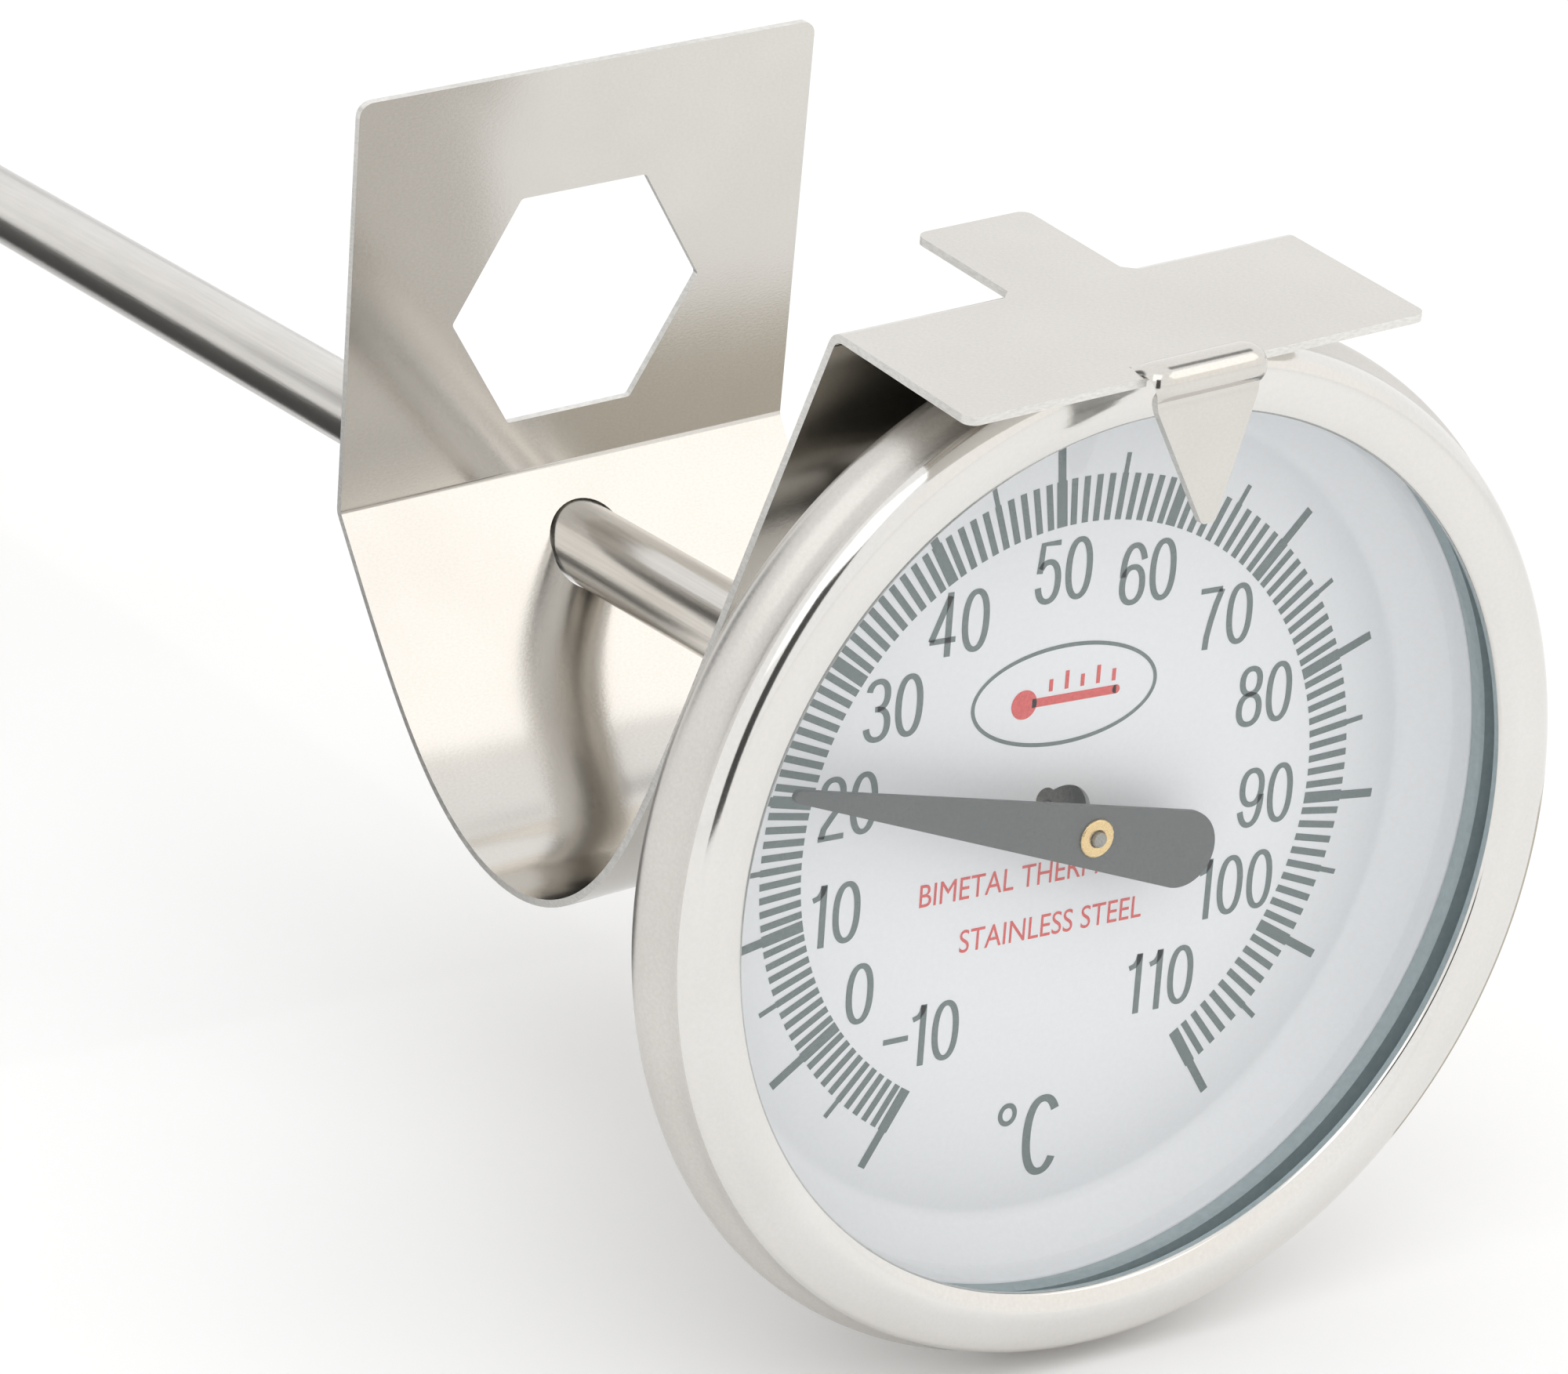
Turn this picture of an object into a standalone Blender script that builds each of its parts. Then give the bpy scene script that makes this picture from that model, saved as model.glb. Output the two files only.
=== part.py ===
"""Dial thermometer: 2 inch head, straight stem and a bent sheet-steel vessel clip.

Metres, +Z up. The dial faces -Y, the stem runs along +Y, twelve o'clock is +Z.
Depths are measured backwards (+Y) from the plane of the bezel's inner lip.
"""

import math

import bmesh
import bpy

MM = 0.001

# ---- driving dimensions (mm and degrees) ---------------------------------
BEZEL_R = 25.4            # widest radius of the head, 2 inches across
BEZEL_FRONT_R = 24.66     # radius just behind the front shoulder
BEZEL_LIP_R = 21.44       # radius of the viewing window
BEZEL_RAISE = 0.61        # how far the shoulder stands in front of the lip
SHOULDER_R = 1.2
LIP_ROLL_R = 0.45         # the front rolls back into the window at this radius
SKIN = 0.45               # bezel sheet

LENS_R = 23.4
LENS_FRONT = 0.52
LENS_T = 1.5
GASKET_T = 0.95
STACK_GAP = 0.05

DIAL_FRONT = 5.69         # depth of the printed face
DIAL_FLAT_R = 19.9
DIAL_RIM_R = 22.3
DIAL_T = 0.35
DIAL_HOLE_R = 1.65
DIAL_LOBE_R = 0.75

CASE_T = 0.45
CASE_FLANGE_R = 23.8
CASE_BACK = 10.1          # depth of the outside of the back wall
CASE_BORE_R = 2.6

NUT_AF = 12.4
NUT_T = 3.5
NUT_FRONT = 10.75
NUT_FLAT_R = 6.3          # radius of the flat left by the corner chamfer
NUT_CHAMFER = 0.5

COLLAR_R = 4.2            # turned collar that holds the stem from inside the case
COLLAR_FRONT = 7.7
COLLAR_T = 1.3
WASHER_R = 4.8
WASHER_T = 0.22
SEAL_R = 5.2
SLEEVE_R = 2.5            # sleeve through the case bore
FIT = 0.06                # clearance between stacked or nested pieces

STEM_R = 2.1
STEM_BORE_R = 1.72
STEM_FRONT = 6.75
STEM_LENGTH = 203.2       # behind the case back
TIP_FLANGE = 0.55         # closed tip: rim thickness, plug length and end radius
TIP_PLUG = 3.0
TIP_ROUND = 0.6
PLUG_R = 1.66
BUSHING_BORE_R = 0.45
BUSHING_T = 3.0
BUSHINGS = (("upper_bushing", 7.0), ("middle_bushing", 84.0), ("lower_bushing", 150.0))

SHAFT_R = 0.37
SHAFT_FRONT = 2.62
POINTER_FRONT = 3.0
POINTER_T = 0.3
POINTER_TIP = 17.7
POINTER_TAIL = 7.3
POINTER_ANGLE = -74.2     # rest reading, clockwise from twelve o'clock
TAIL_HALF = 1.92
TIP_HALF = 0.3
POINTER_BORE_R = 0.6
HUB_FLANGE_R = 1.1
HUB_RING_R = 0.95
HUB_NECK_R = 0.55
HUB_BORE_R = 0.39

COIL_START = 160.0
COIL_END = 205.0
COIL_R = 1.2
COIL_TURNS = 18
COIL_WIRE_R = 0.2
ANCHOR_BORE_R = 0.6
ANCHOR_T = 2.2
COIL_CLEAR = 0.4          # free length between the coil and its two end pieces
COLLAR_CLEAR = 0.3
COIL_COLLAR_T = 1.3
COIL_COLLAR_R = 1.45

CLIP_ANGLE = -4.5         # rest heading of the marker, clockwise from twelve
SHEET = 0.4
PLATE_HALF = 13.4         # half width at the rear plate
SHELF_HALF = 12.45        # half width at the shelf
PLATE_TOP = (26.46, 46.74)    # (height over the stem axis, depth)
PLATE_BEND = (3.9, 50.25)
U_CENTRE = (0.71, 34.4)
U_RADIUS = 12.16
LEG_SPLAY_REAR = 29.9     # slant of each leg off the vertical
LEG_SPLAY_FRONT = 29.4
SHELF_BACK = (26.05, 6.06)
SHELF_FRONT = (25.06, -4.2)
TAB_HALF = 3.1
TAB_LENGTH = 7.5
TAB_SLOT = 7.8            # open length of the slot the tab was cut from
MARKER_TIP = 18.05
MARKER_PLANE = -4.6
HEX_AF = 12.8
HEX_UP = 9.52             # hex centre above the plate bend
CORNER_R = 0.5
PARTING = 0.05            # half the gap between the clip's two halves, under the stem
HOLE_R = 2.3              # stem holes, slotted a little along each leg
REAR_STRETCH = 0.45
FRONT_STRETCH = 0.42
REAR_HOLE_DROP = 0.13     # rear hole's centre below the stem axis
ARC_STEPS = 16            # facets on each half of the bottom bend
BEAD_PROUD = 0.15         # how far the marker's bead stands in front of its flat
MARKER_HALF = 2.72

ROUND = 64                # facets round the head
FINE = 28                 # facets round the stem and the small turned pieces

# ---- derived -------------------------------------------------------------
STEM_END = CASE_BACK + STEM_LENGTH
FRONT_MOST = MARKER_PLANE - BEAD_PROUD - SHEET / 2
CENTRE_Y = -(FRONT_MOST + STEM_END) / 2
CENTRE_Z = BEZEL_R
LENS_BACK = LENS_FRONT + LENS_T
GASKET_FRONT = LENS_BACK + STACK_GAP
DIAL_FLANGE_FRONT = GASKET_FRONT + GASKET_T + STACK_GAP
CASE_FLANGE_FRONT = DIAL_FLANGE_FRONT + DIAL_T + STACK_GAP
CASE_FLANGE_BACK = CASE_FLANGE_FRONT + CASE_T
FIT_R = STEM_R + FIT
COLLAR_BACK = COLLAR_FRONT + COLLAR_T
WASHER_BACK = COLLAR_BACK + FIT + WASHER_T
RIM = STEM_END - TIP_FLANGE - TIP_ROUND
ANCHOR_FRONT = COIL_END + COIL_CLEAR
SHAFT_END = ANCHOR_FRONT + ANCHOR_T - 0.8
POINTER_BACK = POINTER_FRONT + POINTER_T


def clear_scene():
    for ob in list(bpy.data.objects):
        bpy.data.objects.remove(ob, do_unlink=True)
    for group in list(bpy.data.collections):
        bpy.data.collections.remove(group)


clear_scene()
PARTS = bpy.data.collections.new("dial_thermometer")
CUTTERS = bpy.data.collections.new("cutters")
bpy.context.scene.collection.children.link(PARTS)
bpy.context.scene.collection.children.link(CUTTERS)


def paint(ob, colour, metallic, roughness):
    mat = bpy.data.materials.new(ob.name + "_finish")
    mat.use_nodes = True
    shader = mat.node_tree.nodes["Principled BSDF"]
    shader.inputs["Base Color"].default_value = (*colour, 1.0)
    shader.inputs["Metallic"].default_value = metallic
    shader.inputs["Roughness"].default_value = roughness
    ob.data.materials.append(mat)


STEEL = ((0.70, 0.68, 0.65), 1.0, 0.32)
SATIN = ((0.66, 0.64, 0.61), 1.0, 0.38)
BRASS = ((0.78, 0.58, 0.26), 1.0, 0.3)
WHITE = ((0.80, 0.82, 0.84), 0.0, 0.35)
GLASS = ((0.85, 0.92, 0.92), 0.0, 0.05)
RUBBER = ((0.04, 0.04, 0.04), 0.0, 0.7)
GREY = ((0.10, 0.11, 0.115), 0.0, 0.45)


def add_object(name, data, parent, finish):
    ob = bpy.data.objects.new(name, data)
    PARTS.objects.link(ob)
    ob.parent = parent
    if finish:
        paint(ob, *finish)
    return ob


def empty(name, location, rotation=(0.0, 0.0, 0.0), parent=None):
    ob = bpy.data.objects.new(name, None)
    PARTS.objects.link(ob)
    ob.location = location
    ob.rotation_euler = rotation
    ob.parent = parent
    return ob


def smooth(mesh):
    for poly in mesh.polygons:
        poly.use_smooth = True
    edges = bmesh.new()
    edges.from_mesh(mesh)
    for edge in edges.edges:
        if len(edge.link_faces) == 2 and edge.calc_face_angle(0.0) > math.radians(32):
            edge.smooth = False
    edges.to_mesh(mesh)
    edges.free()


def settle(ob, shade=True):
    """Applies the modifiers, merges doubles and faces everything outwards."""
    bpy.context.view_layer.update()
    graph = bpy.context.evaluated_depsgraph_get()
    mesh = bpy.data.meshes.new_from_object(ob.evaluated_get(graph))
    old = ob.data
    ob.modifiers.clear()
    ob.data = mesh
    mesh.name = ob.name
    if old.users == 0:
        bpy.data.meshes.remove(old)
    bm = bmesh.new()
    bm.from_mesh(mesh)
    bmesh.ops.remove_doubles(bm, verts=bm.verts, dist=1e-7)
    bmesh.ops.recalc_face_normals(bm, faces=bm.faces)
    bm.to_mesh(mesh)
    bm.free()
    if shade:
        smooth(mesh)
    return ob


# ---- turned pieces -------------------------------------------------------
# The head frame's local Z looks forward, so a depth d becomes z = -d.
HEAD = empty("head_frame", (0.0, CENTRE_Y * MM, CENTRE_Z * MM), (math.radians(90), 0.0, 0.0))


def turned(name, profile, finish, parent=HEAD, steps=ROUND, on_axis=False):
    """A body of revolution from (radius, depth) points, outer side front to back."""
    mesh = bpy.data.meshes.new(name)
    count = len(profile)
    verts = [(r * MM, 0.0, -d * MM) for r, d in profile]
    edges = [(i, i + 1) for i in range(count - 1)]
    if not on_axis:
        edges.append((count - 1, 0))
    mesh.from_pydata(verts, edges, [])
    ob = add_object(name, mesh, parent, None)
    screw = ob.modifiers.new("turn", "SCREW")
    screw.axis = "Z"
    screw.angle = math.tau
    screw.steps = steps
    screw.render_steps = steps
    screw.use_merge_vertices = True
    screw.merge_threshold = 1e-6
    settle(ob)
    paint(ob, *finish)
    return ob


def arc(centre, radius, start, end, count):
    """Points (r, d) on an arc; angles in degrees, 0 outward and 90 backward."""
    points = []
    for i in range(count + 1):
        a = math.radians(start + (end - start) * i / count)
        points.append((centre[0] + radius * math.cos(a), centre[1] + radius * math.sin(a)))
    return points


def ring(outer, inner, front, back):
    return [(outer, front), (outer, back), (inner, back), (inner, front)]


def build_bezel():
    shoulder = (BEZEL_FRONT_R - SHOULDER_R, -BEZEL_RAISE + SHOULDER_R)
    inside = SHOULDER_R - SKIN
    crimp = CASE_FLANGE_BACK + 0.07
    roll = (BEZEL_LIP_R + LIP_ROLL_R, -BEZEL_RAISE + LIP_ROLL_R)
    outline = [(BEZEL_LIP_R, SKIN)]
    outline += arc(roll, LIP_ROLL_R, -180, -90, 3)
    outline += arc(shoulder, SHOULDER_R, -90, 0, 5)
    outline += [(BEZEL_R - 0.1, 1.9), (BEZEL_R, 2.65), (24.95, 3.5)]
    outline += [(24.1, 4.3), (23.4, crimp + SKIN), (22.95, crimp + SKIN)]
    outline += [(22.95, crimp), (23.9, crimp), (24.6, 3.3), (24.93, 2.6), (24.83, 1.9)]
    outline += arc(shoulder, inside, 0, -90, 3)
    outline += [(roll[0], -BEZEL_RAISE + SKIN), (BEZEL_LIP_R + SKIN, SKIN)]
    return turned("bezel_ring", outline, STEEL, steps=ROUND)


def build_case():
    front = CASE_FLANGE_FRONT
    back = CASE_FLANGE_BACK
    t = CASE_T
    outline = [(CASE_FLANGE_R, front), (CASE_FLANGE_R, back), (22.75, back), (22.7, 4.6)]
    outline += [(22.45, 6.2), (21.0, 8.1), (19.3, 9.5), (17.3, CASE_BACK), (CASE_BORE_R, CASE_BACK)]
    outline += [(CASE_BORE_R, CASE_BACK - t), (17.1, CASE_BACK - t), (19.0, 9.1), (20.6, 7.8)]
    outline += [(22.0, 6.0), (22.3, 4.6), (22.3, front)]
    return turned("case_shell", outline, SATIN, steps=ROUND)


def build_dial():
    f = DIAL_FRONT
    t = DIAL_T
    flange = DIAL_FLANGE_FRONT
    outline = [(23.6, flange), (23.6, flange + t), (DIAL_RIM_R - 0.1, flange + t)]
    outline += [(DIAL_FLAT_R + 0.35, f + t - 0.05), (DIAL_FLAT_R - 0.1, f + t), (0.0, f + t)]
    outline += [(0.0, f), (DIAL_FLAT_R - 0.2, f), (DIAL_FLAT_R + 0.2, f - 0.12), (DIAL_RIM_R, flange)]
    # runs outer side first, so the two axis points close the loop in the middle
    start = outline.index((0.0, f))
    ordered = outline[start:] + outline[:start]
    dial = turned("dial_plate", ordered, WHITE, steps=ROUND, on_axis=True)
    hole = cutter_disc("dial_hole", DIAL_HOLE_R, 3.0)
    lobe = cutter_disc("dial_lobe", DIAL_LOBE_R, 3.0)
    lobe.location.x = -1.35 * MM
    for cut in (hole, lobe):
        cut.location.z = -f * MM
        cut.parent = HEAD
        boolean(dial, cut)
    return settle(dial)


# ---- cutters -------------------------------------------------------------
def boolean(ob, cut):
    mod = ob.modifiers.new(cut.name, "BOOLEAN")
    mod.operation = "DIFFERENCE"
    mod.solver = "EXACT"
    mod.object = cut


def cutter(name, mesh):
    ob = bpy.data.objects.new(name, mesh)
    CUTTERS.objects.link(ob)
    ob.hide_render = True
    ob.display_type = "WIRE"
    return ob


def prism(name, outline, height):
    """An upright prism, centred on z = 0, from (x, y) points in mm."""
    bm = bmesh.new()
    base = [bm.verts.new((x * MM, y * MM, -height / 2 * MM)) for x, y in outline]
    face = bm.faces.new(base)
    grown = bmesh.ops.extrude_face_region(bm, geom=[face])
    moved = [v for v in grown["geom"] if isinstance(v, bmesh.types.BMVert)]
    bmesh.ops.translate(bm, verts=moved, vec=(0.0, 0.0, height * MM))
    bmesh.ops.recalc_face_normals(bm, faces=bm.faces)
    mesh = bpy.data.meshes.new(name)
    bm.to_mesh(mesh)
    bm.free()
    return mesh


def circle(radius, count=FINE, stretch=0.0):
    """A circle, or a slot whose straight sides run along y."""
    points = []
    for i in range(count):
        a = math.tau * (i + 0.5) / count
        shift = stretch if math.sin(a) > 0 else -stretch
        points.append((radius * math.cos(a), radius * math.sin(a) + shift))
    return points


def hexagon(across):
    r = across / math.sqrt(3)
    points = []
    for i in range(6):
        a = math.tau * i / 6
        points.append((r * math.cos(a), r * math.sin(a)))
    return points


def cutter_disc(name, radius, height):
    return cutter(name, prism(name, circle(radius), height))


# ---- head ----------------------------------------------------------------
build_bezel()
build_case()
build_dial()
turned("lens", [(0.0, LENS_FRONT), (LENS_R - 0.2, LENS_FRONT), (LENS_R, LENS_FRONT + 0.2),
                (LENS_R, LENS_BACK - 0.2), (LENS_R - 0.2, LENS_BACK), (0.0, LENS_BACK)],
       GLASS, on_axis=True)
turned("lens_gasket", ring(23.7, 22.35, GASKET_FRONT, GASKET_FRONT + GASKET_T), RUBBER)

# ---- stem: tube, nut and everything fixed to them -------------------------
STEM = empty("stem_axis", (0.0, 0.0, 0.0), parent=HEAD)
turned("stem_tube", ring(STEM_R, STEM_BORE_R, STEM_FRONT, RIM - STACK_GAP), STEEL, STEM, FINE)
turned("stem_tip", [(0.0, RIM - TIP_PLUG), (PLUG_R, RIM - TIP_PLUG), (PLUG_R, RIM), (STEM_R, RIM)]
       + arc((STEM_R - TIP_ROUND, STEM_END - TIP_ROUND), TIP_ROUND, 0, 90, 3) + [(0.0, STEM_END)],
       STEEL, STEM, FINE, True)
turned("retaining_collar", ring(COLLAR_R, FIT_R, COLLAR_FRONT, COLLAR_BACK), BRASS, STEM, FINE)
turned("friction_washer", ring(WASHER_R, FIT_R, COLLAR_BACK + FIT, WASHER_BACK), STEEL, STEM, FINE)
turned("case_seal", ring(SEAL_R, SLEEVE_R + FIT, CASE_BACK + FIT, NUT_FRONT - FIT), RUBBER, STEM, FINE)
turned("neck_sleeve", ring(SLEEVE_R, FIT_R, WASHER_BACK + FIT, NUT_FRONT - FIT), BRASS, STEM, FINE)
for bushing_name, bushing_front in BUSHINGS:
    turned(bushing_name, ring(PLUG_R, BUSHING_BORE_R, bushing_front, bushing_front + BUSHING_T),
           BRASS, STEM, FINE)
turned("coil_anchor", ring(PLUG_R, ANCHOR_BORE_R, ANCHOR_FRONT, ANCHOR_FRONT + ANCHOR_T),
       BRASS, STEM, FINE)


def build_nut():
    mesh = prism("calibration_nut", hexagon(NUT_AF), NUT_T)
    nut = add_object("calibration_nut", mesh, STEM, None)
    nut.location.z = -(NUT_FRONT + NUT_T / 2) * MM
    bore = cutter_disc("nut_bore", FIT_R, NUT_T * 2)
    bore.parent = STEM
    bore.location.z = nut.location.z
    boolean(nut, bore)
    # chamfered corners: what a cone leaves of the hexagon
    corner = NUT_AF / math.sqrt(3) + FIT
    cone = turned("nut_cone", [(0.0, 0.0), (NUT_FLAT_R, 0.0), (corner, NUT_CHAMFER),
                               (corner, NUT_T - NUT_CHAMFER), (NUT_FLAT_R, NUT_T), (0.0, NUT_T)],
                  STEEL, STEM, ROUND, True)
    PARTS.objects.unlink(cone)
    CUTTERS.objects.link(cone)
    cone.hide_render = True
    cone.display_type = "WIRE"
    cone.location.z = -NUT_FRONT * MM
    trim = nut.modifiers.new("trim", "BOOLEAN")
    trim.operation = "INTERSECT"
    trim.solver = "EXACT"
    trim.object = cone
    settle(nut)
    paint(nut, *STEEL)


build_nut()

# ---- pointer -------------------------------------------------------------
POINTER = empty("pointer_axis", (0.0, 0.0, 0.0), (0.0, 0.0, -math.radians(POINTER_ANGLE)), STEM)
turned("pointer_shaft", [(0.0, SHAFT_FRONT), (SHAFT_R, SHAFT_FRONT), (SHAFT_R, SHAFT_END),
                         (0.0, SHAFT_END)], STEEL, POINTER, 16, True)
turned("coil_collar", ring(COIL_COLLAR_R, HUB_BORE_R, COIL_START - COLLAR_CLEAR - COIL_COLLAR_T,
                           COIL_START - COLLAR_CLEAR), BRASS, POINTER, FINE)


def build_hub():
    """A rivet-like hub: ring in front of the pointer, neck through it, flange behind."""
    play = 0.03
    ring_back = POINTER_FRONT - play
    flange_front = POINTER_BACK + play
    ring_front = ring_back - 0.15
    flange_back = flange_front + 0.77
    turned("pointer_hub", [(HUB_RING_R, ring_front), (HUB_RING_R, ring_back), (HUB_NECK_R, ring_back),
                           (HUB_NECK_R, flange_front), (HUB_FLANGE_R, flange_front),
                           (HUB_FLANGE_R, flange_back), (HUB_BORE_R, flange_back),
                           (HUB_BORE_R, ring_front)], BRASS, POINTER, FINE)


def build_pointer():
    tail_c = -(POINTER_TAIL - TAIL_HALF)
    tip_c = POINTER_TIP - TIP_HALF
    outline = []
    for i in range(13):
        a = math.pi + math.pi * i / 12
        outline.append((TAIL_HALF * math.cos(a), tail_c + TAIL_HALF * math.sin(a)))
    for i in range(7):
        a = math.pi * i / 6
        outline.append((TIP_HALF * math.cos(a), tip_c + TIP_HALF * math.sin(a)))
    mesh = prism("pointer", outline, POINTER_T)
    ob = add_object("pointer", mesh, POINTER, None)
    ob.location.z = -(POINTER_FRONT + POINTER_T / 2) * MM
    bore = cutter_disc("pointer_bore", POINTER_BORE_R, 2.0)
    bore.parent = POINTER
    bore.location.z = ob.location.z
    boolean(ob, bore)
    settle(ob, shade=False)
    paint(ob, *GREY)


build_hub()
build_pointer()


def build_coil():
    """The bimetal helix, drawn as a fine wire wound on the shaft."""
    per_turn = 12
    total = COIL_TURNS * per_turn
    curve = bpy.data.curves.new("bimetal_helix", "CURVE")
    curve.dimensions = "3D"
    curve.bevel_depth = COIL_WIRE_R * MM
    curve.bevel_resolution = 0
    curve.use_fill_caps = True
    spline = curve.splines.new("POLY")
    spline.points.add(total)
    for i in range(total + 1):
        a = math.tau * i / per_turn
        depth = COIL_START + (COIL_END - COIL_START) * i / total
        point = (COIL_R * MM * math.cos(a), COIL_R * MM * math.sin(a), -depth * MM, 1.0)
        spline.points[i].co = point
    ob = add_object("bimetal_helix", curve, POINTER, None)
    bpy.context.view_layer.update()
    graph = bpy.context.evaluated_depsgraph_get()
    mesh = bpy.data.meshes.new_from_object(ob.evaluated_get(graph))
    bpy.data.objects.remove(ob, do_unlink=True)
    solid = add_object("bimetal_helix", mesh, POINTER, None)
    settle(solid)
    paint(solid, *STEEL)


build_coil()

# ---- clip ----------------------------------------------------------------
# Local axes: x across the strip, y along the stem (back), z up from the stem.
CLIP = empty("clip_axis", (0.0, CENTRE_Y * MM, CENTRE_Z * MM), (0.0, math.radians(CLIP_ANGLE), 0.0))


def u_arc(start, end, count):
    """(height, depth) points on the bottom bend; angle 0 is up, 90 is backward."""
    points = []
    for i in range(count + 1):
        a = math.radians(start + (end - start) * i / count)
        points.append((U_CENTRE[0] + U_RADIUS * math.cos(a), U_CENTRE[1] + U_RADIUS * math.sin(a)))
    return points


def rounded(before, corner, after, radius, count=5):
    """Replaces a corner of a path by an arc."""
    ax, ay = before[0] - corner[0], before[1] - corner[1]
    bx, by = after[0] - corner[0], after[1] - corner[1]
    la, lb = math.hypot(ax, ay), math.hypot(bx, by)
    ax, ay, bx, by = ax / la, ay / la, bx / lb, by / lb
    half = math.acos(max(-1.0, min(1.0, ax * bx + ay * by))) / 2
    reach = radius / math.tan(half)
    cx, cy = ax + bx, ay + by
    lc = math.hypot(cx, cy)
    centre = (corner[0] + cx / lc * radius / math.sin(half),
              corner[1] + cy / lc * radius / math.sin(half))
    first = (corner[0] + ax * reach, corner[1] + ay * reach)
    last = (corner[0] + bx * reach, corner[1] + by * reach)
    a0 = math.atan2(first[1] - centre[1], first[0] - centre[0])
    a1 = math.atan2(last[1] - centre[1], last[0] - centre[0])
    turn = (a1 - a0 + math.pi) % math.tau - math.pi
    points = []
    for i in range(count + 1):
        a = a0 + turn * i / count
        points.append((centre[0] + radius * math.cos(a), centre[1] + radius * math.sin(a)))
    return points


def lengths(path):
    total = [0.0]
    for a, b in zip(path, path[1:]):
        total.append(total[-1] + math.hypot(b[0] - a[0], b[1] - a[1]))
    return total


def corner_trim(left):
    """How much a rounded corner takes off the half width, a distance from the end."""
    if left >= CORNER_R:
        return 0.0
    return CORNER_R - math.sqrt(max(0.0, CORNER_R ** 2 - (CORNER_R - left) ** 2))


def end_rows(a, b):
    """Extra rows close to b, so its corners can be rounded."""
    span = math.hypot(b[0] - a[0], b[1] - a[1])
    rows = []
    for left in (CORNER_R, CORNER_R * 0.6, CORNER_R * 0.3, CORNER_R * 0.1, 0.0):
        t = 1 - left / span
        rows.append((a[0] + (b[0] - a[0]) * t, a[1] + (b[1] - a[1]) * t))
    return rows


def sheet(name, bm, origin):
    """Turns a mid-surface into 0.4 mm sheet standing on the given local origin."""
    bmesh.ops.remove_doubles(bm, verts=bm.verts, dist=1e-7)
    bmesh.ops.recalc_face_normals(bm, faces=bm.faces)
    shift = (-origin[0] * MM, -origin[1] * MM, -origin[2] * MM)
    bmesh.ops.translate(bm, verts=bm.verts, vec=shift)
    mesh = bpy.data.meshes.new(name)
    bm.to_mesh(mesh)
    bm.free()
    ob = add_object(name, mesh, CLIP, None)
    ob.location = (origin[0] * MM, origin[1] * MM, origin[2] * MM)
    thick = ob.modifiers.new("sheet", "SOLIDIFY")
    thick.thickness = SHEET * MM
    thick.offset = 0.0
    thick.use_even_offset = True
    settle(ob)
    return ob


def row_verts(bm, point, widths):
    return [bm.verts.new((w * MM, point[1] * MM, point[0] * MM)) for w in widths]


def slot_cutter(name, half, stretch, point, slant):
    """A slotted hole for the stem, square to a leg slanting off the vertical."""
    cut = cutter(name, prism(name, circle(half, 32, stretch), 4.0))
    cut.parent = CLIP
    cut.location = (0.0, point[1] * MM, point[0] * MM)
    cut.rotation_euler = (math.radians(90 + slant), 0.0, 0.0)
    return cut


def build_clip_rear():
    mid = math.degrees(math.asin(PARTING / U_RADIUS))
    path = u_arc(180 - mid, 90 + LEG_SPLAY_REAR, ARC_STEPS)
    path += rounded(path[-1], PLATE_BEND, PLATE_TOP, 0.6, 4)
    path += end_rows(PLATE_BEND, PLATE_TOP)
    run = lengths(path)
    half_u = (PLATE_HALF + SHELF_HALF) / 2
    bm = bmesh.new()
    last = None
    for point, s in zip(path, run):
        grow = min(1.0, s / (run[-1] * 0.5))
        half = half_u + (PLATE_HALF - half_u) * grow - corner_trim(run[-1] - s)
        now = row_verts(bm, point, (-half, half))
        if last:
            bm.faces.new((last[0], last[1], now[1], now[0]))
        last = now
    pivot = (0.0, U_CENTRE[1], U_CENTRE[0] - U_RADIUS)
    ob = sheet("clip_rear", bm, pivot)
    lean = math.degrees(math.atan2(PLATE_BEND[1] - PLATE_TOP[1], PLATE_TOP[0] - PLATE_BEND[0]))
    away = HEX_UP / math.hypot(PLATE_TOP[0] - PLATE_BEND[0], PLATE_TOP[1] - PLATE_BEND[1])
    centre = (PLATE_BEND[0] + (PLATE_TOP[0] - PLATE_BEND[0]) * away,
              PLATE_BEND[1] + (PLATE_TOP[1] - PLATE_BEND[1]) * away)
    wrench = cutter("wrench_hex", prism("wrench_hex", hexagon(HEX_AF), 4.0))
    wrench.parent = CLIP
    wrench.location = (0.0, centre[1] * MM, centre[0] * MM)
    wrench.rotation_euler = (math.radians(90 + lean), 0.0, 0.0)
    boolean(ob, wrench)
    drop = math.tan(math.radians(LEG_SPLAY_REAR))
    low = -REAR_HOLE_DROP
    at = (low, PLATE_BEND[1] - (PLATE_BEND[0] - low) * drop)
    boolean(ob, slot_cutter("stem_hole_rear", HOLE_R, REAR_STRETCH, at, -LEG_SPLAY_REAR))
    settle(ob)
    paint(ob, *SATIN)


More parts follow.
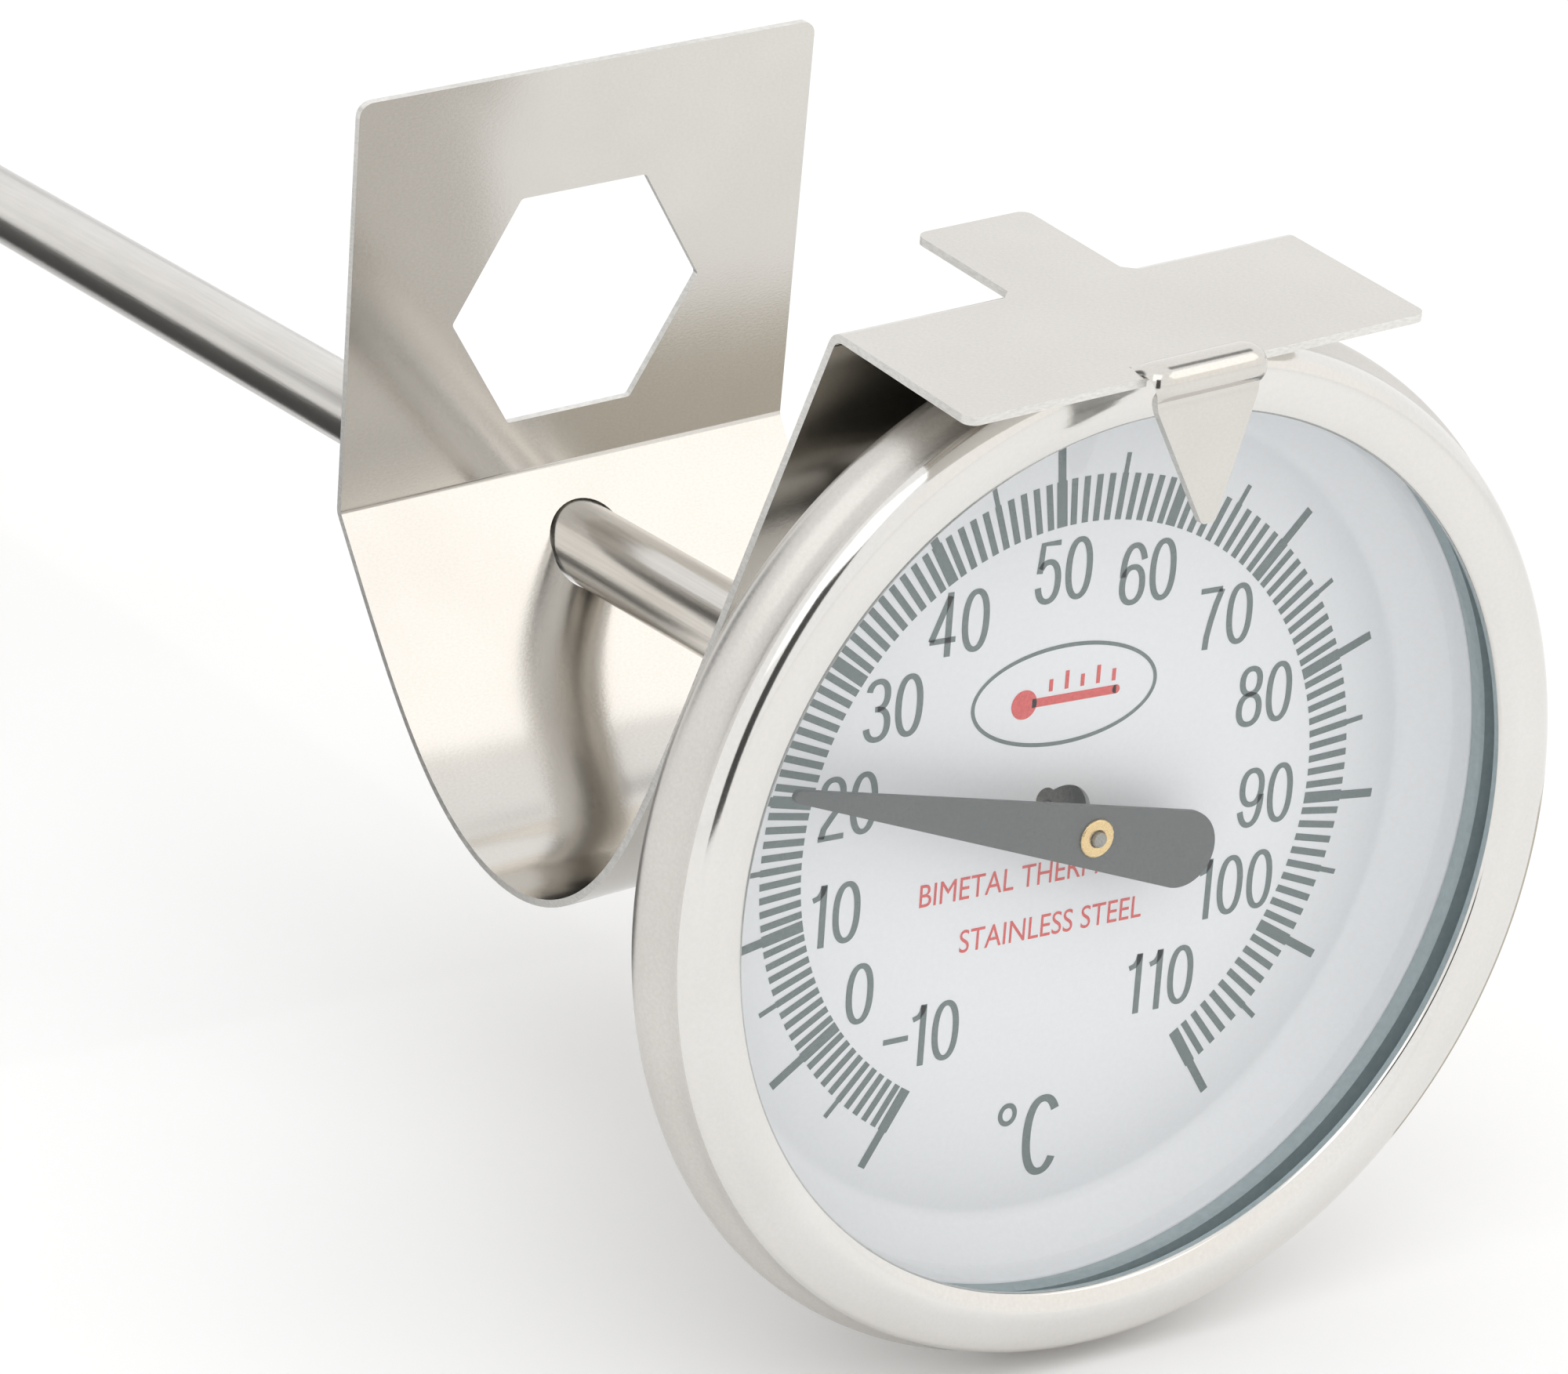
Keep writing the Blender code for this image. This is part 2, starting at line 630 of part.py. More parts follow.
def build_clip_front():
    mid = math.degrees(math.asin(PARTING / U_RADIUS))
    path = u_arc(180 + mid, 270 - LEG_SPLAY_FRONT, ARC_STEPS)
    bend = rounded(path[-1], SHELF_BACK, SHELF_FRONT, 0.9, 5)
    # the leg's row where the tab's slot starts
    top = bend[0]
    leg_foot = path[-1]
    rise = (top[0] - leg_foot[0], top[1] - leg_foot[1])
    t = 1 - TAB_SLOT / math.hypot(rise[0], rise[1])
    path.append((leg_foot[0] + rise[0] * t, leg_foot[1] + rise[1] * t))
    slot_row = len(path) - 1
    path += bend
    shelf_row = len(path) - 1
    path += end_rows(SHELF_BACK, SHELF_FRONT)
    run = lengths(path)
    half_u = (PLATE_HALF + SHELF_HALF) / 2
    bm = bmesh.new()
    rows = []
    for point, s in zip(path, run):
        grow = min(1.0, s / (run[-1] * 0.4))
        half = half_u + (SHELF_HALF - half_u) * grow - corner_trim(run[-1] - s)
        rows.append(row_verts(bm, point, (-half, -TAB_HALF, TAB_HALF, half)))
    for i, (a, b) in enumerate(zip(rows, rows[1:])):
        for k in range(3):
            if k == 1 and slot_row <= i < shelf_row:
                continue
            bm.faces.new((a[k], a[k + 1], b[k + 1], b[k]))
    # the tab carries the shelf's plane backwards
    ux, uy = SHELF_BACK[0] - SHELF_FRONT[0], SHELF_BACK[1] - SHELF_FRONT[1]
    ul = math.hypot(ux, uy)
    start = path[shelf_row]
    end = (SHELF_BACK[0] + ux / ul * TAB_LENGTH, SHELF_BACK[1] + uy / ul * TAB_LENGTH)
    last = [rows[shelf_row][1], rows[shelf_row][2]]
    for point in end_rows(start, end):
        left = math.hypot(end[0] - point[0], end[1] - point[1])
        half = TAB_HALF - corner_trim(left)
        now = row_verts(bm, point, (-half, half))
        bm.faces.new((last[0], last[1], now[1], now[0]))
        last = now
    # the marker: a rolled bead at its root, then a flat taper to a round tip
    plane = MARKER_PLANE
    root = SHELF_FRONT[0]
    bead = [(root - 0.08, plane + 0.1, TAB_HALF), (root - 0.34, plane - 0.12, TAB_HALF - 0.05)]
    bead += [(root - 0.66, plane - BEAD_PROUD, TAB_HALF - 0.15)]
    bead += [(root - 0.96, plane - 0.08, TAB_HALF - 0.25), (root - 1.26, plane, MARKER_HALF)]
    tip = 0.35
    for i in range(5):
        a = math.radians(15 + 75 * i / 4)
        bead.append((MARKER_TIP + tip - tip * math.sin(a), plane, tip * math.cos(a) + 0.02))
    last = [rows[-1][1], rows[-1][2]]
    for height, depth, half in bead:
        now = row_verts(bm, (height, depth), (-half, half))
        bm.faces.new((last[0], last[1], now[1], now[0]))
        last = now
    ob = sheet("clip_front", bm, (0.0, 0.0, 0.0))
    slope = math.tan(math.radians(LEG_SPLAY_FRONT))
    at = (0.0, leg_foot[1] + leg_foot[0] * slope)
    boolean(ob, slot_cutter("stem_hole_front", HOLE_R, FRONT_STRETCH, at, LEG_SPLAY_FRONT))
    settle(ob)
    paint(ob, *SATIN)


build_clip_rear()
build_clip_front()
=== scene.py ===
"""Looks for the dial thermometer: fine shapes, finishes, printed dial, light and camera.

Metres, +Z is twelve o'clock on the dial, the dial faces -Y and the stem runs along +Y.
Sizes below are in millimetres; a depth is measured backwards from the bezel's inner lip.
"""

import math

import bpy
from mathutils import Matrix, Vector, geometry


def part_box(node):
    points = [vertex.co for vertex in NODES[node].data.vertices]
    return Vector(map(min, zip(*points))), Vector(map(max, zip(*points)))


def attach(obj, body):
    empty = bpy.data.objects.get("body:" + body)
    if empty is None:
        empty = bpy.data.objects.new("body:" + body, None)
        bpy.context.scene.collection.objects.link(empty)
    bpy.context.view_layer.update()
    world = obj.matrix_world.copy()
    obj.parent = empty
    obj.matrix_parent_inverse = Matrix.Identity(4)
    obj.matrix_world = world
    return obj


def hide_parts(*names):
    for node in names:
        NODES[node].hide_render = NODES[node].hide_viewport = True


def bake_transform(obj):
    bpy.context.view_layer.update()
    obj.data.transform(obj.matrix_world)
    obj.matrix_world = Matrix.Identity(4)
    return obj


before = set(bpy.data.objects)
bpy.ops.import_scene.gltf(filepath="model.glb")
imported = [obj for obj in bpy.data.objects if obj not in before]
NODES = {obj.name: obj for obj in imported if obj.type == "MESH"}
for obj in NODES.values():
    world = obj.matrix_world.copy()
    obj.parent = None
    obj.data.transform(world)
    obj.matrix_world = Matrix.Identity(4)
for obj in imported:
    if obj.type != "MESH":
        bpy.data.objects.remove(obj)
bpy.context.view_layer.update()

MM = 0.001

# ---- anchors, all taken from the frame ------------------------------------
bezel_lo, bezel_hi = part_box("bezel_ring")
stem_lo, stem_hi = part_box("stem_tube")
tip_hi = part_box("stem_tip")[1]
dial_lo, dial_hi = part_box("dial_plate")
case_lo, case_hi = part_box("case_shell")
lens_lo, lens_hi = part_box("lens")
gasket_lo, gasket_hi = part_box("lens_gasket")
pointer_lo, pointer_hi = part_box("pointer")

AXIS_X = (stem_lo.x + stem_hi.x) / 2
AXIS_Z = (stem_lo.z + stem_hi.z) / 2
RAISE = 0.61             # how far the bezel's flat stands in front of its lip
LIP_Y = bezel_lo.y + RAISE * MM
BEZEL_R = (bezel_hi.x - bezel_lo.x) / 2 / MM


def depth_of(y):
    return (y - LIP_Y) / MM


def place(x, d, z):
    """A point in mm from the stem axis and the lip plane, as world metres."""
    return Vector((AXIS_X + x * MM, LIP_Y + d * MM, AXIS_Z + z * MM))


# ---- node helpers ----------------------------------------------------------
def new_material(name):
    mat = bpy.data.materials.new(name)
    mat.use_nodes = True
    tree = mat.node_tree
    return mat, tree, tree.nodes["Principled BSDF"]


def node(tree, kind, **values):
    made = tree.nodes.new(kind)
    for key, value in values.items():
        if key in made.inputs:
            made.inputs[key].default_value = value
        else:
            setattr(made, key, value)
    return made


def stretched(tree, scale, source="Object"):
    """Texture coordinates in metres, scaled differently along each axis."""
    coords = node(tree, "ShaderNodeTexCoord")
    mapping = node(tree, "ShaderNodeMapping")
    mapping.inputs["Scale"].default_value = scale
    tree.links.new(coords.outputs[source], mapping.inputs["Vector"])
    return mapping.outputs["Vector"]


def noise(tree, vector, scale, detail=3.0, rough=0.55):
    made = node(tree, "ShaderNodeTexNoise")
    made.inputs["Scale"].default_value = scale
    made.inputs["Detail"].default_value = detail
    made.inputs["Roughness"].default_value = rough
    tree.links.new(vector, made.inputs["Vector"])
    return made.outputs["Fac"]


def ramp(tree, value, stops):
    made = node(tree, "ShaderNodeValToRGB")
    elements = made.color_ramp.elements
    while len(elements) < len(stops):
        elements.new(0.5)
    for element, (at, colour) in zip(elements, stops):
        element.position = at
        element.color = (*colour, 1.0)
    tree.links.new(value, made.inputs["Fac"])
    return made.outputs["Color"]


def span(tree, value, low, high):
    made = node(tree, "ShaderNodeMapRange")
    made.inputs["To Min"].default_value = low
    made.inputs["To Max"].default_value = high
    tree.links.new(value, made.inputs["Value"])
    return made.outputs["Result"]


def bump(tree, shader, height, strength, distance):
    made = node(tree, "ShaderNodeBump")
    made.inputs["Strength"].default_value = strength
    made.inputs["Distance"].default_value = distance
    tree.links.new(height, made.inputs["Height"])
    tree.links.new(made.outputs["Normal"], shader.inputs["Normal"])


def metal(name, dark, light, rough, grain, bumpiness, source="Object"):
    """Metal with a fine grain; grain is the noise scale along each axis, per metre."""
    mat, tree, shader = new_material(name)
    shader.inputs["Metallic"].default_value = 1.0
    fine = noise(tree, stretched(tree, grain, source), 1.0, 4.0, 0.6)
    broad = noise(tree, stretched(tree, (130.0, 130.0, 130.0), source), 1.0, 2.0)
    both = node(tree, "ShaderNodeMix")
    both.inputs["Factor"].default_value = 0.4
    tree.links.new(fine, both.inputs[2])
    tree.links.new(broad, both.inputs[3])
    colour = ramp(tree, both.outputs[0], [(0.32, dark), (0.68, light)])
    tree.links.new(colour, shader.inputs["Base Color"])
    tree.links.new(span(tree, fine, rough[0], rough[1]), shader.inputs["Roughness"])
    bump(tree, shader, fine, bumpiness, 0.00002)
    return mat


def dull(name, dark, light, rough, scale, bumpiness=0.1):
    """Paint, enamel or rubber with a little mottling."""
    mat, tree, shader = new_material(name)
    fine = noise(tree, stretched(tree, (1.0, 1.0, 1.0)), scale, 3.0)
    colour = ramp(tree, fine, [(0.35, dark), (0.65, light)])
    tree.links.new(colour, shader.inputs["Base Color"])
    tree.links.new(span(tree, fine, rough[0], rough[1]), shader.inputs["Roughness"])
    bump(tree, shader, fine, bumpiness, 0.00001)
    return mat


SHEET_STEEL = metal("sheet_steel", (0.62, 0.598, 0.562), (0.69, 0.668, 0.635), (0.10, 0.17),
                    (9000.0, 5000.0, 5000.0), 0.10, "UV")
CUT_EDGE = metal("cut_edge", (0.62, 0.61, 0.58), (0.86, 0.85, 0.82), (0.35, 0.6),
                 (3000.0, 3000.0, 9000.0), 0.4)
BLASTED = metal("bezel_side", (0.57, 0.55, 0.52), (0.66, 0.64, 0.61), (0.28, 0.40),
                (6000.0, 6000.0, 6000.0), 0.35)
POLISHED = metal("bezel_front", (0.71, 0.695, 0.665), (0.76, 0.745, 0.72), (0.09, 0.15),
                 (5000.0, 5000.0, 5000.0), 0.05)
PAN_STEEL = metal("case_steel", (0.56, 0.54, 0.50), (0.65, 0.63, 0.59), (0.25, 0.36),
                  (5000.0, 5000.0, 5000.0), 0.2)
STEM_STEEL = metal("stem_steel", (0.57, 0.55, 0.52), (0.68, 0.66, 0.63), (0.16, 0.26),
                   (5500.0, 160.0, 5500.0), 0.3)
NUT_STEEL = metal("nut_steel", (0.58, 0.56, 0.53), (0.70, 0.68, 0.64), (0.2, 0.32),
                  (700.0, 9000.0, 700.0), 0.2)
SPRING_STEEL = metal("spring_steel", (0.5, 0.48, 0.44), (0.62, 0.6, 0.56), (0.2, 0.34),
                     (4000.0, 4000.0, 4000.0), 0.2)
SHAFT_STEEL = metal("shaft_steel", (0.20, 0.19, 0.17), (0.42, 0.41, 0.38), (0.3, 0.45),
                    (9000.0, 9000.0, 9000.0), 0.3)
BRASS = metal("brass", (0.70, 0.49, 0.22), (0.84, 0.64, 0.33), (0.2, 0.34),
              (6000.0, 6000.0, 6000.0), 0.2)
ENAMEL = dull("dial_enamel", (0.775, 0.79, 0.81), (0.795, 0.81, 0.83), (0.32, 0.42), 4000.0)
PRINT = dull("dial_print", (0.115, 0.15, 0.15), (0.15, 0.185, 0.185), (0.45, 0.6), 9000.0, 0.3)
RED_PRINT = dull("red_print", (0.62, 0.06, 0.06), (0.72, 0.10, 0.09), (0.4, 0.55), 9000.0, 0.3)
POINTER_PAINT = dull("pointer_paint", (0.075, 0.082, 0.082), (0.10, 0.108, 0.107), (0.42, 0.55), 6000.0)
GASKET = dull("gasket_rubber", (0.33, 0.40, 0.42), (0.38, 0.45, 0.47), (0.4, 0.6), 3000.0, 0.3)
BLACK_RUBBER = dull("seal_rubber", (0.02, 0.02, 0.02), (0.045, 0.045, 0.045), (0.5, 0.7), 3000.0, 0.3)


def window_glass():
    mat, tree, shader = new_material("window_glass")
    shader.inputs["Metallic"].default_value = 1.0
    shader.inputs["Alpha"].default_value = 0.045
    haze = noise(tree, stretched(tree, (1.0, 1.0, 1.0)), 300.0, 2.0)
    tree.links.new(ramp(tree, haze, [(0.3, (0.93, 0.97, 0.98)), (0.7, (0.98, 1.0, 1.0))]),
                   shader.inputs["Base Color"])
    tree.links.new(span(tree, haze, 0.03, 0.06), shader.inputs["Roughness"])
    return mat


WINDOW = window_glass()


# ---- mesh helpers ----------------------------------------------------------
def finish_mesh(name, verts, faces, mats, indices=None, sharp=40.0, smooth=True):
    mesh = bpy.data.meshes.new(name)
    mesh.from_pydata(verts, [], faces)
    for mat in mats:
        mesh.materials.append(mat)
    if indices:
        mesh.polygons.foreach_set("material_index", indices)
    if smooth:
        mesh.polygons.foreach_set("use_smooth", [True] * len(mesh.polygons))
        mesh.set_sharp_from_angle(angle=math.radians(sharp))
    ob = bpy.data.objects.new(name, mesh)
    bpy.context.scene.collection.objects.link(ob)
    return ob


def turned(name, profile, mats, steps=256, closed=True, picks=None, sharp=40.0):
    """A body turned about the stem axis from (radius, depth) points, outer side to the back."""
    verts = []
    faces = []
    indices = []
    rings = []
    for r, d in profile:
        if r < 1e-6:
            rings.append([len(verts)])
            verts.append(place(0.0, d, 0.0))
            continue
        rings.append(list(range(len(verts), len(verts) + steps)))
        for i in range(steps):
            a = math.tau * i / steps
            verts.append(place(r * math.sin(a), d, r * math.cos(a)))
    pairs = list(zip(range(len(profile)), range(1, len(profile))))
    if closed:
        pairs.append((len(profile) - 1, 0))
    for k, (p, q) in enumerate(pairs):
        a, b = rings[p], rings[q]
        for i in range(steps):
            j = (i + 1) % steps
            if len(a) == 1:
                faces.append((a[0], b[j], b[i]))
            elif len(b) == 1:
                faces.append((a[i], a[j], b[0]))
            else:
                faces.append((a[i], a[j], b[j], b[i]))
            indices.append(picks[k] if picks else 0)
    return finish_mesh(name, verts, faces, mats, indices, sharp)


def arc(centre, radius, start, end, count):
    """Points (r, depth) on an arc; 0 degrees is outward and 90 is backward."""
    points = []
    for i in range(count + 1):
        a = math.radians(start + (end - start) * i / count)
        points.append((centre[0] + radius * math.cos(a), centre[1] + radius * math.sin(a)))
    return points


def softened(points, radius, count=4):
    """Rounds every inner corner of an open (r, depth) path."""
    out = [points[0]]
    for before, corner, after in zip(points, points[1:], points[2:]):
        a = Vector(before) - Vector(corner)
        b = Vector(after) - Vector(corner)
        reach = min(radius, a.length * 0.45, b.length * 0.45)
        p = Vector(corner) + a.normalized() * reach
        q = Vector(corner) + b.normalized() * reach
        for i in range(count + 1):
            t = i / count
            out.append(tuple(p.lerp(Vector(corner), t).lerp(Vector(corner).lerp(q, t), t)))
    out.append(points[-1])
    return out


# ---- head ------------------------------------------------------------------
LIP_R = 21.44
LIP_BACK = 0.04          # the lip's cut edge, and a hair behind the lip plane
SHOULDER = 1.2           # radius between the bezel's flat and its side
SHOULDER_STEPS = 16
SHOULDER_MATTE = 4       # the last steps have the side's finish
SKIN = 0.45              # bezel and case sheet
FRONT_R = 24.66
CRIMP_R = 22.95
FLANGE_R = 23.8
BORE_R = 2.6
DIAL_T = 0.35


def build_bezel():
    centre = (FRONT_R - SHOULDER, -RAISE + SHOULDER)
    crimp = depth_of(bezel_hi.y)
    lip = softened([(LIP_R + 0.06, LIP_BACK), (LIP_R, 0.0), (21.54, -0.17), (21.9, -0.35), (22.3, -0.49),
                    (22.7, -0.57), (23.1, -RAISE), (23.3, -RAISE)], 0.12, 4)
    front = lip + arc(centre, SHOULDER, -90, 0, SHOULDER_STEPS)
    side = softened([(FRONT_R, centre[1]), (FRONT_R + 0.12, 1.1), (BEZEL_R - 0.1, 1.9), (BEZEL_R, 2.65),
                     (24.95, 3.5), (24.1, 4.3), (23.4, crimp), (CRIMP_R, crimp)], 0.5, 5)
    inside = [(CRIMP_R, crimp - SKIN), (23.9, crimp - SKIN), (24.6, 3.3), (24.93, 2.6), (24.83, 1.9)]
    inside += arc(centre, SHOULDER - SKIN, 0, -90, 6)
    inside += [(22.6, -RAISE + SKIN), (22.0, LIP_BACK)]
    profile = front + side[1:] + inside
    polished = len(front) - SHOULDER_MATTE
    picks = [1 if k < polished else 0 for k in range(len(profile))]
    ob = turned("bezel_fine", profile, [BLASTED, POLISHED], 320, picks=picks, sharp=35.0)
    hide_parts("bezel_ring")
    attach(ob, "head")


def build_case():
    back = depth_of(case_hi.y)
    front = depth_of(case_lo.y)
    outer = softened([(FLANGE_R, front), (FLANGE_R, front + SKIN), (22.75, front + SKIN), (22.7, 4.6),
                      (22.45, 6.2), (21.0, 8.1), (19.3, 9.5), (17.3, back), (BORE_R, back)], 0.9, 5)
    inner = softened([(BORE_R, back - SKIN), (17.1, back - SKIN), (19.0, 9.1), (20.6, 7.8), (22.0, 6.0),
                      (22.3, 4.6), (22.3, front)], 0.8, 4)
    ob = turned("case_fine", outer + inner, [PAN_STEEL], 256)
    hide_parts("case_shell")
    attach(ob, "head")


FACE = depth_of(dial_hi.y) - DIAL_T    # depth of the printed face
FLAT_R = 19.9
RIM_R = 22.3
DIAL_EDGE_R = 23.6
DIAL_HOLE_R = 1.65
LOBE_R = 0.55
LOBE_AT = (-1.05, 1.15)                # upper left of the hole


def lobed_hole(count=96):
    """The dial's centre hole with its small side lobe, as (x, z) points."""
    points = []
    for i in range(count):
        a = math.tau * i / count
        ray = Vector((math.cos(a), math.sin(a)))
        r = DIAL_HOLE_R
        centre = Vector(LOBE_AT)
        along = ray.dot(centre)
        off = centre.length_squared - along * along
        if off < LOBE_R ** 2 and along > 0:
            r = max(r, along + math.sqrt(LOBE_R ** 2 - off))
        points.append((ray.x * r, ray.y * r))
    return points


def build_dial():
    steps = 96 * 3
    hole = lobed_hole(steps)
    flange = depth_of(dial_lo.y)
    profile = softened([(15.0, FACE), (FLAT_R - 0.1, FACE), (FLAT_R + 0.25, FACE - 0.16),
                        (RIM_R - 0.1, flange + DIAL_T), (RIM_R, flange), (DIAL_EDGE_R, flange)], 0.35, 5)
    profile += [(DIAL_EDGE_R, flange + DIAL_T), (RIM_R - 0.1, flange + DIAL_T + 0.01),
                (FLAT_R + 0.3, FACE + 0.3), (FLAT_R, FACE + DIAL_T), (15.0, FACE + DIAL_T)]
    verts = []
    for d in (FACE, FACE + DIAL_T):
        verts += [place(x, d, z) for x, z in hole]
    for r, d in profile:
        for i in range(steps):
            a = math.tau * i / steps
            verts.append(place(r * math.cos(a), d, r * math.sin(a)))
    loops = [0] + [k + 2 for k in range(len(profile))] + [1]
    faces = []
    for p, q in zip(loops, loops[1:] + loops[:1]):
        for i in range(steps):
            j = (i + 1) % steps
            faces.append((p * steps + i, p * steps + j, q * steps + j, q * steps + i))
    ob = finish_mesh("dial_fine", verts, faces, [ENAMEL], sharp=30.0)
    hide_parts("dial_plate")
    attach(ob, "head")


build_bezel()
build_case()
build_dial()

WINDOW_R = 23.4
glass_front = depth_of(lens_lo.y)
glass_back = depth_of(lens_hi.y)
lens = turned("window_fine", softened([(0.0, glass_front), (WINDOW_R, glass_front), (WINDOW_R, glass_back),
                                       (0.0, glass_back)], 0.15, 3), [WINDOW], 256, closed=False)
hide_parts("lens")
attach(lens, "head")

seal_front = depth_of(gasket_lo.y)
seal_back = depth_of(gasket_hi.y)
seal_lip = glass_front - 0.03
channel = [(23.7, 0.3), (23.7, seal_back), (22.35, seal_back), (22.28, (seal_front + seal_back) / 2),
           (22.35, seal_front), (23.45, seal_front), (23.45, seal_lip), (21.62, seal_lip), (21.55, 0.3),
           (21.62, 0.07), (22.1, 0.07), (23.0, 0.3)]
gasket = turned("gasket_fine", channel, [GASKET], 256)
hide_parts("lens_gasket")
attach(gasket, "head")

# ---- printed scale ---------------------------------------------------------
PRINT_LIFT = 0.012
TICK_IN = 14.56
TICK_MINOR = 16.8
TICK_FIVE = 17.77
TICK_TEN = 18.76
MINOR_HALF = 0.175       # half widths, inside the minor ticks' ends and beyond
FIVE_HALF = 0.13
TEN_HALF = 0.29
TEN_OUTER_HALF = 0.22


def scale_angle(value):
    """Clockwise angle from twelve o'clock of a reading, in degrees; the scale opens out slightly."""
    x = (value - 50) / 60
    return 147.6 * x + 5.52 * (x * x - 1)


def flat_print(name, polygons, mat):
    """Flat shapes on the dial from lists of (x, z) points in mm."""
    verts = []
    faces = []
    for polygon in polygons:
        first = len(verts)
        verts += [place(x, FACE - PRINT_LIFT, z) for x, z in polygon]
        faces.append(tuple(range(first, len(verts))))
    ob = finish_mesh(name, verts, faces, [mat], smooth=False)
    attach(ob, "head")


def tick_shapes():
    shapes = []
    for value in range(-10, 111):
        a = math.radians(scale_angle(value))
        out = Vector((math.sin(a), math.cos(a)))
        side = Vector((out.y, -out.x))
        if value % 10 == 0:
            spans = [(TICK_IN, TICK_MINOR, TEN_HALF), (TICK_MINOR, TICK_TEN, TEN_OUTER_HALF)]
        elif value % 5 == 0:
            spans = [(TICK_IN, TICK_MINOR, MINOR_HALF), (TICK_MINOR, TICK_FIVE, FIVE_HALF)]
        else:
            spans = [(TICK_IN, TICK_MINOR, MINOR_HALF)]
        for low, high, half in spans:
            corners = [out * low - side * half, out * low + side * half, out * high + side * half,
                       out * high - side * half]
            shapes.append([(p.x, p.y) for p in corners])
    return shapes


flat_print("scale_ticks", tick_shapes(), PRINT)


def lettering(name, text, x, z, height, mat, squeeze=0.72):
    """Small generic printed words centred on (x, z), height of a capital in mm."""
    curve = bpy.data.curves.new(name, "FONT")
    curve.body = text
    curve.resolution_u = 6
    raw = bpy.data.objects.new(name, curve)
    bpy.context.scene.collection.objects.link(raw)
    bpy.context.view_layer.update()
    graph = bpy.context.evaluated_depsgraph_get()
    mesh = bpy.data.meshes.new_from_object(raw.evaluated_get(graph))
    bpy.data.objects.remove(raw, do_unlink=True)
    xs = [v.co.x for v in mesh.vertices]
    ys = [v.co.y for v in mesh.vertices]
    scale = height / (max(ys) - min(ys))
    mid = Vector(((max(xs) + min(xs)) / 2, (max(ys) + min(ys)) / 2))
    for v in mesh.vertices:
        v.co = place(x + (v.co.x - mid.x) * scale * squeeze, FACE - PRINT_LIFT, z + (v.co.y - mid.y) * scale)
    mesh.materials.clear()
    mesh.materials.append(mat)
    ob = bpy.data.objects.new(name, mesh)
    bpy.context.scene.collection.objects.link(ob)
    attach(ob, "head")


def bow(cx, cy, rx, ry, start, end, count=20, power=2.25):
    """Part of a squarish oval; degrees anticlockwise from the right."""
    points = []
    for i in range(count + 1):
        a = math.radians(start + (end - start) * i / count)
        c, s = math.cos(a), math.sin(a)
        points.append((cx + rx * math.copysign(abs(c) ** (2 / power), c),
                       cy + ry * math.copysign(abs(s) ** (2 / power), s)))
    return points


# centre lines of the narrow digits in units of their height, and each digit's width
GLYPHS = {
    "0": (0.50, [bow(0, 0, 0.19, 0.45, 0, 360, 44)]),
    "1": (0.32, [[(0.06, 0.5), (0.06, -0.5)], [(-0.13, 0.28), (-0.03, 0.31), (0.03, 0.38), (0.06, 0.49)]]),
    "2": (0.46, [bow(0, 0.23, 0.175, 0.225, 175, 0, 18) + [(0.165, 0.13), (0.11, 0.0), (-0.02, -0.16),
                                                        (-0.13, -0.30), (-0.17, -0.455)],
                 [(-0.225, -0.455), (0.225, -0.455)]]),
    "3": (0.46, [bow(-0.005, 0.235, 0.165, 0.215, 165, -90, 20),
                 bow(-0.005, -0.22, 0.185, 0.235, 90, -170, 24),
                 [(-0.05, 0.02), (0.01, 0.02)]]),
    "4": (0.49, [[(0.09, -0.5), (0.09, 0.5)], [(0.09, 0.44), (-0.21, -0.235)],
                 [(-0.235, -0.24), (0.225, -0.24)]]),
    "5": (0.46, [[(0.19, 0.45), (-0.125, 0.45), (-0.165, 0.0)],
                 bow(0.0, -0.145, 0.18, 0.31, 140, -168, 28)]),
    "6": (0.47, [bow(0.0, -0.17, 0.185, 0.28, 0, 360, 34), bow(0.015, 0.0, 0.20, 0.45, 183, 25, 18)]),
    "7": (0.46, [[(-0.215, 0.45), (0.19, 0.45)],
                 [(0.185, 0.45), (0.09, 0.22), (0.01, -0.05), (-0.045, -0.3), (-0.06, -0.5)]]),
    "8": (0.47, [bow(0, 0.245, 0.165, 0.205, 0, 360, 34), bow(0, -0.215, 0.19, 0.24, 0, 360, 34)]),
    "9": (0.47, [bow(0.0, 0.17, 0.185, 0.28, 0, 360, 34), bow(-0.015, 0.0, 0.20, 0.45, 3, -155, 18)]),
    "C": (0.50, [bow(0, 0, 0.205, 0.455, 38, 322, 40)]),
}


def stroke_shapes(line, tall, wide):
    """A line drawn with a pen that is a little wider sideways than it is tall."""
    shapes = []
    normals = []
    closed = math.dist(line[0], line[-1]) < 1e-6
    for i in range(len(line)):
        a = line[max(i - 1, 0)]
        b = line[min(i + 1, len(line) - 1)]
        if closed and i in (0, len(line) - 1):
            a, b = line[-2], line[1]
        way = Vector((b[0] - a[0], b[1] - a[1])).normalized()
        normals.append(Vector((way.y * wide, -way.x * tall)))
    for i in range(len(line) - 1):
        p, q = Vector(line[i]), Vector(line[i + 1])
        shapes.append([tuple(p - normals[i]), tuple(p + normals[i]), tuple(q + normals[i + 1]),
                       tuple(q - normals[i + 1])])
    return shapes


DIGIT_GAP = 0.075         # in units of the digits' height, like the pen's half widths
PEN_TALL = 0.044
PEN_WIDE = 0.056


def digits(name, text, x, z, height):
    """A printed number centred on (x, z), height in mm."""
    widths = [GLYPHS[c][0] for c in text]
    at = -(sum(widths) + DIGIT_GAP * (len(text) - 1)) / 2
    shapes = []
    for c, width in zip(text, widths):
        middle = at + width / 2
        for line in GLYPHS[c][1]:
            for quad in stroke_shapes(line, PEN_TALL, PEN_WIDE):
                shapes.append([(x + (middle + px) * height, z + pz * height) for px, pz in quad])
        at += width + DIGIT_GAP
    flat_print(name, shapes, PRINT)


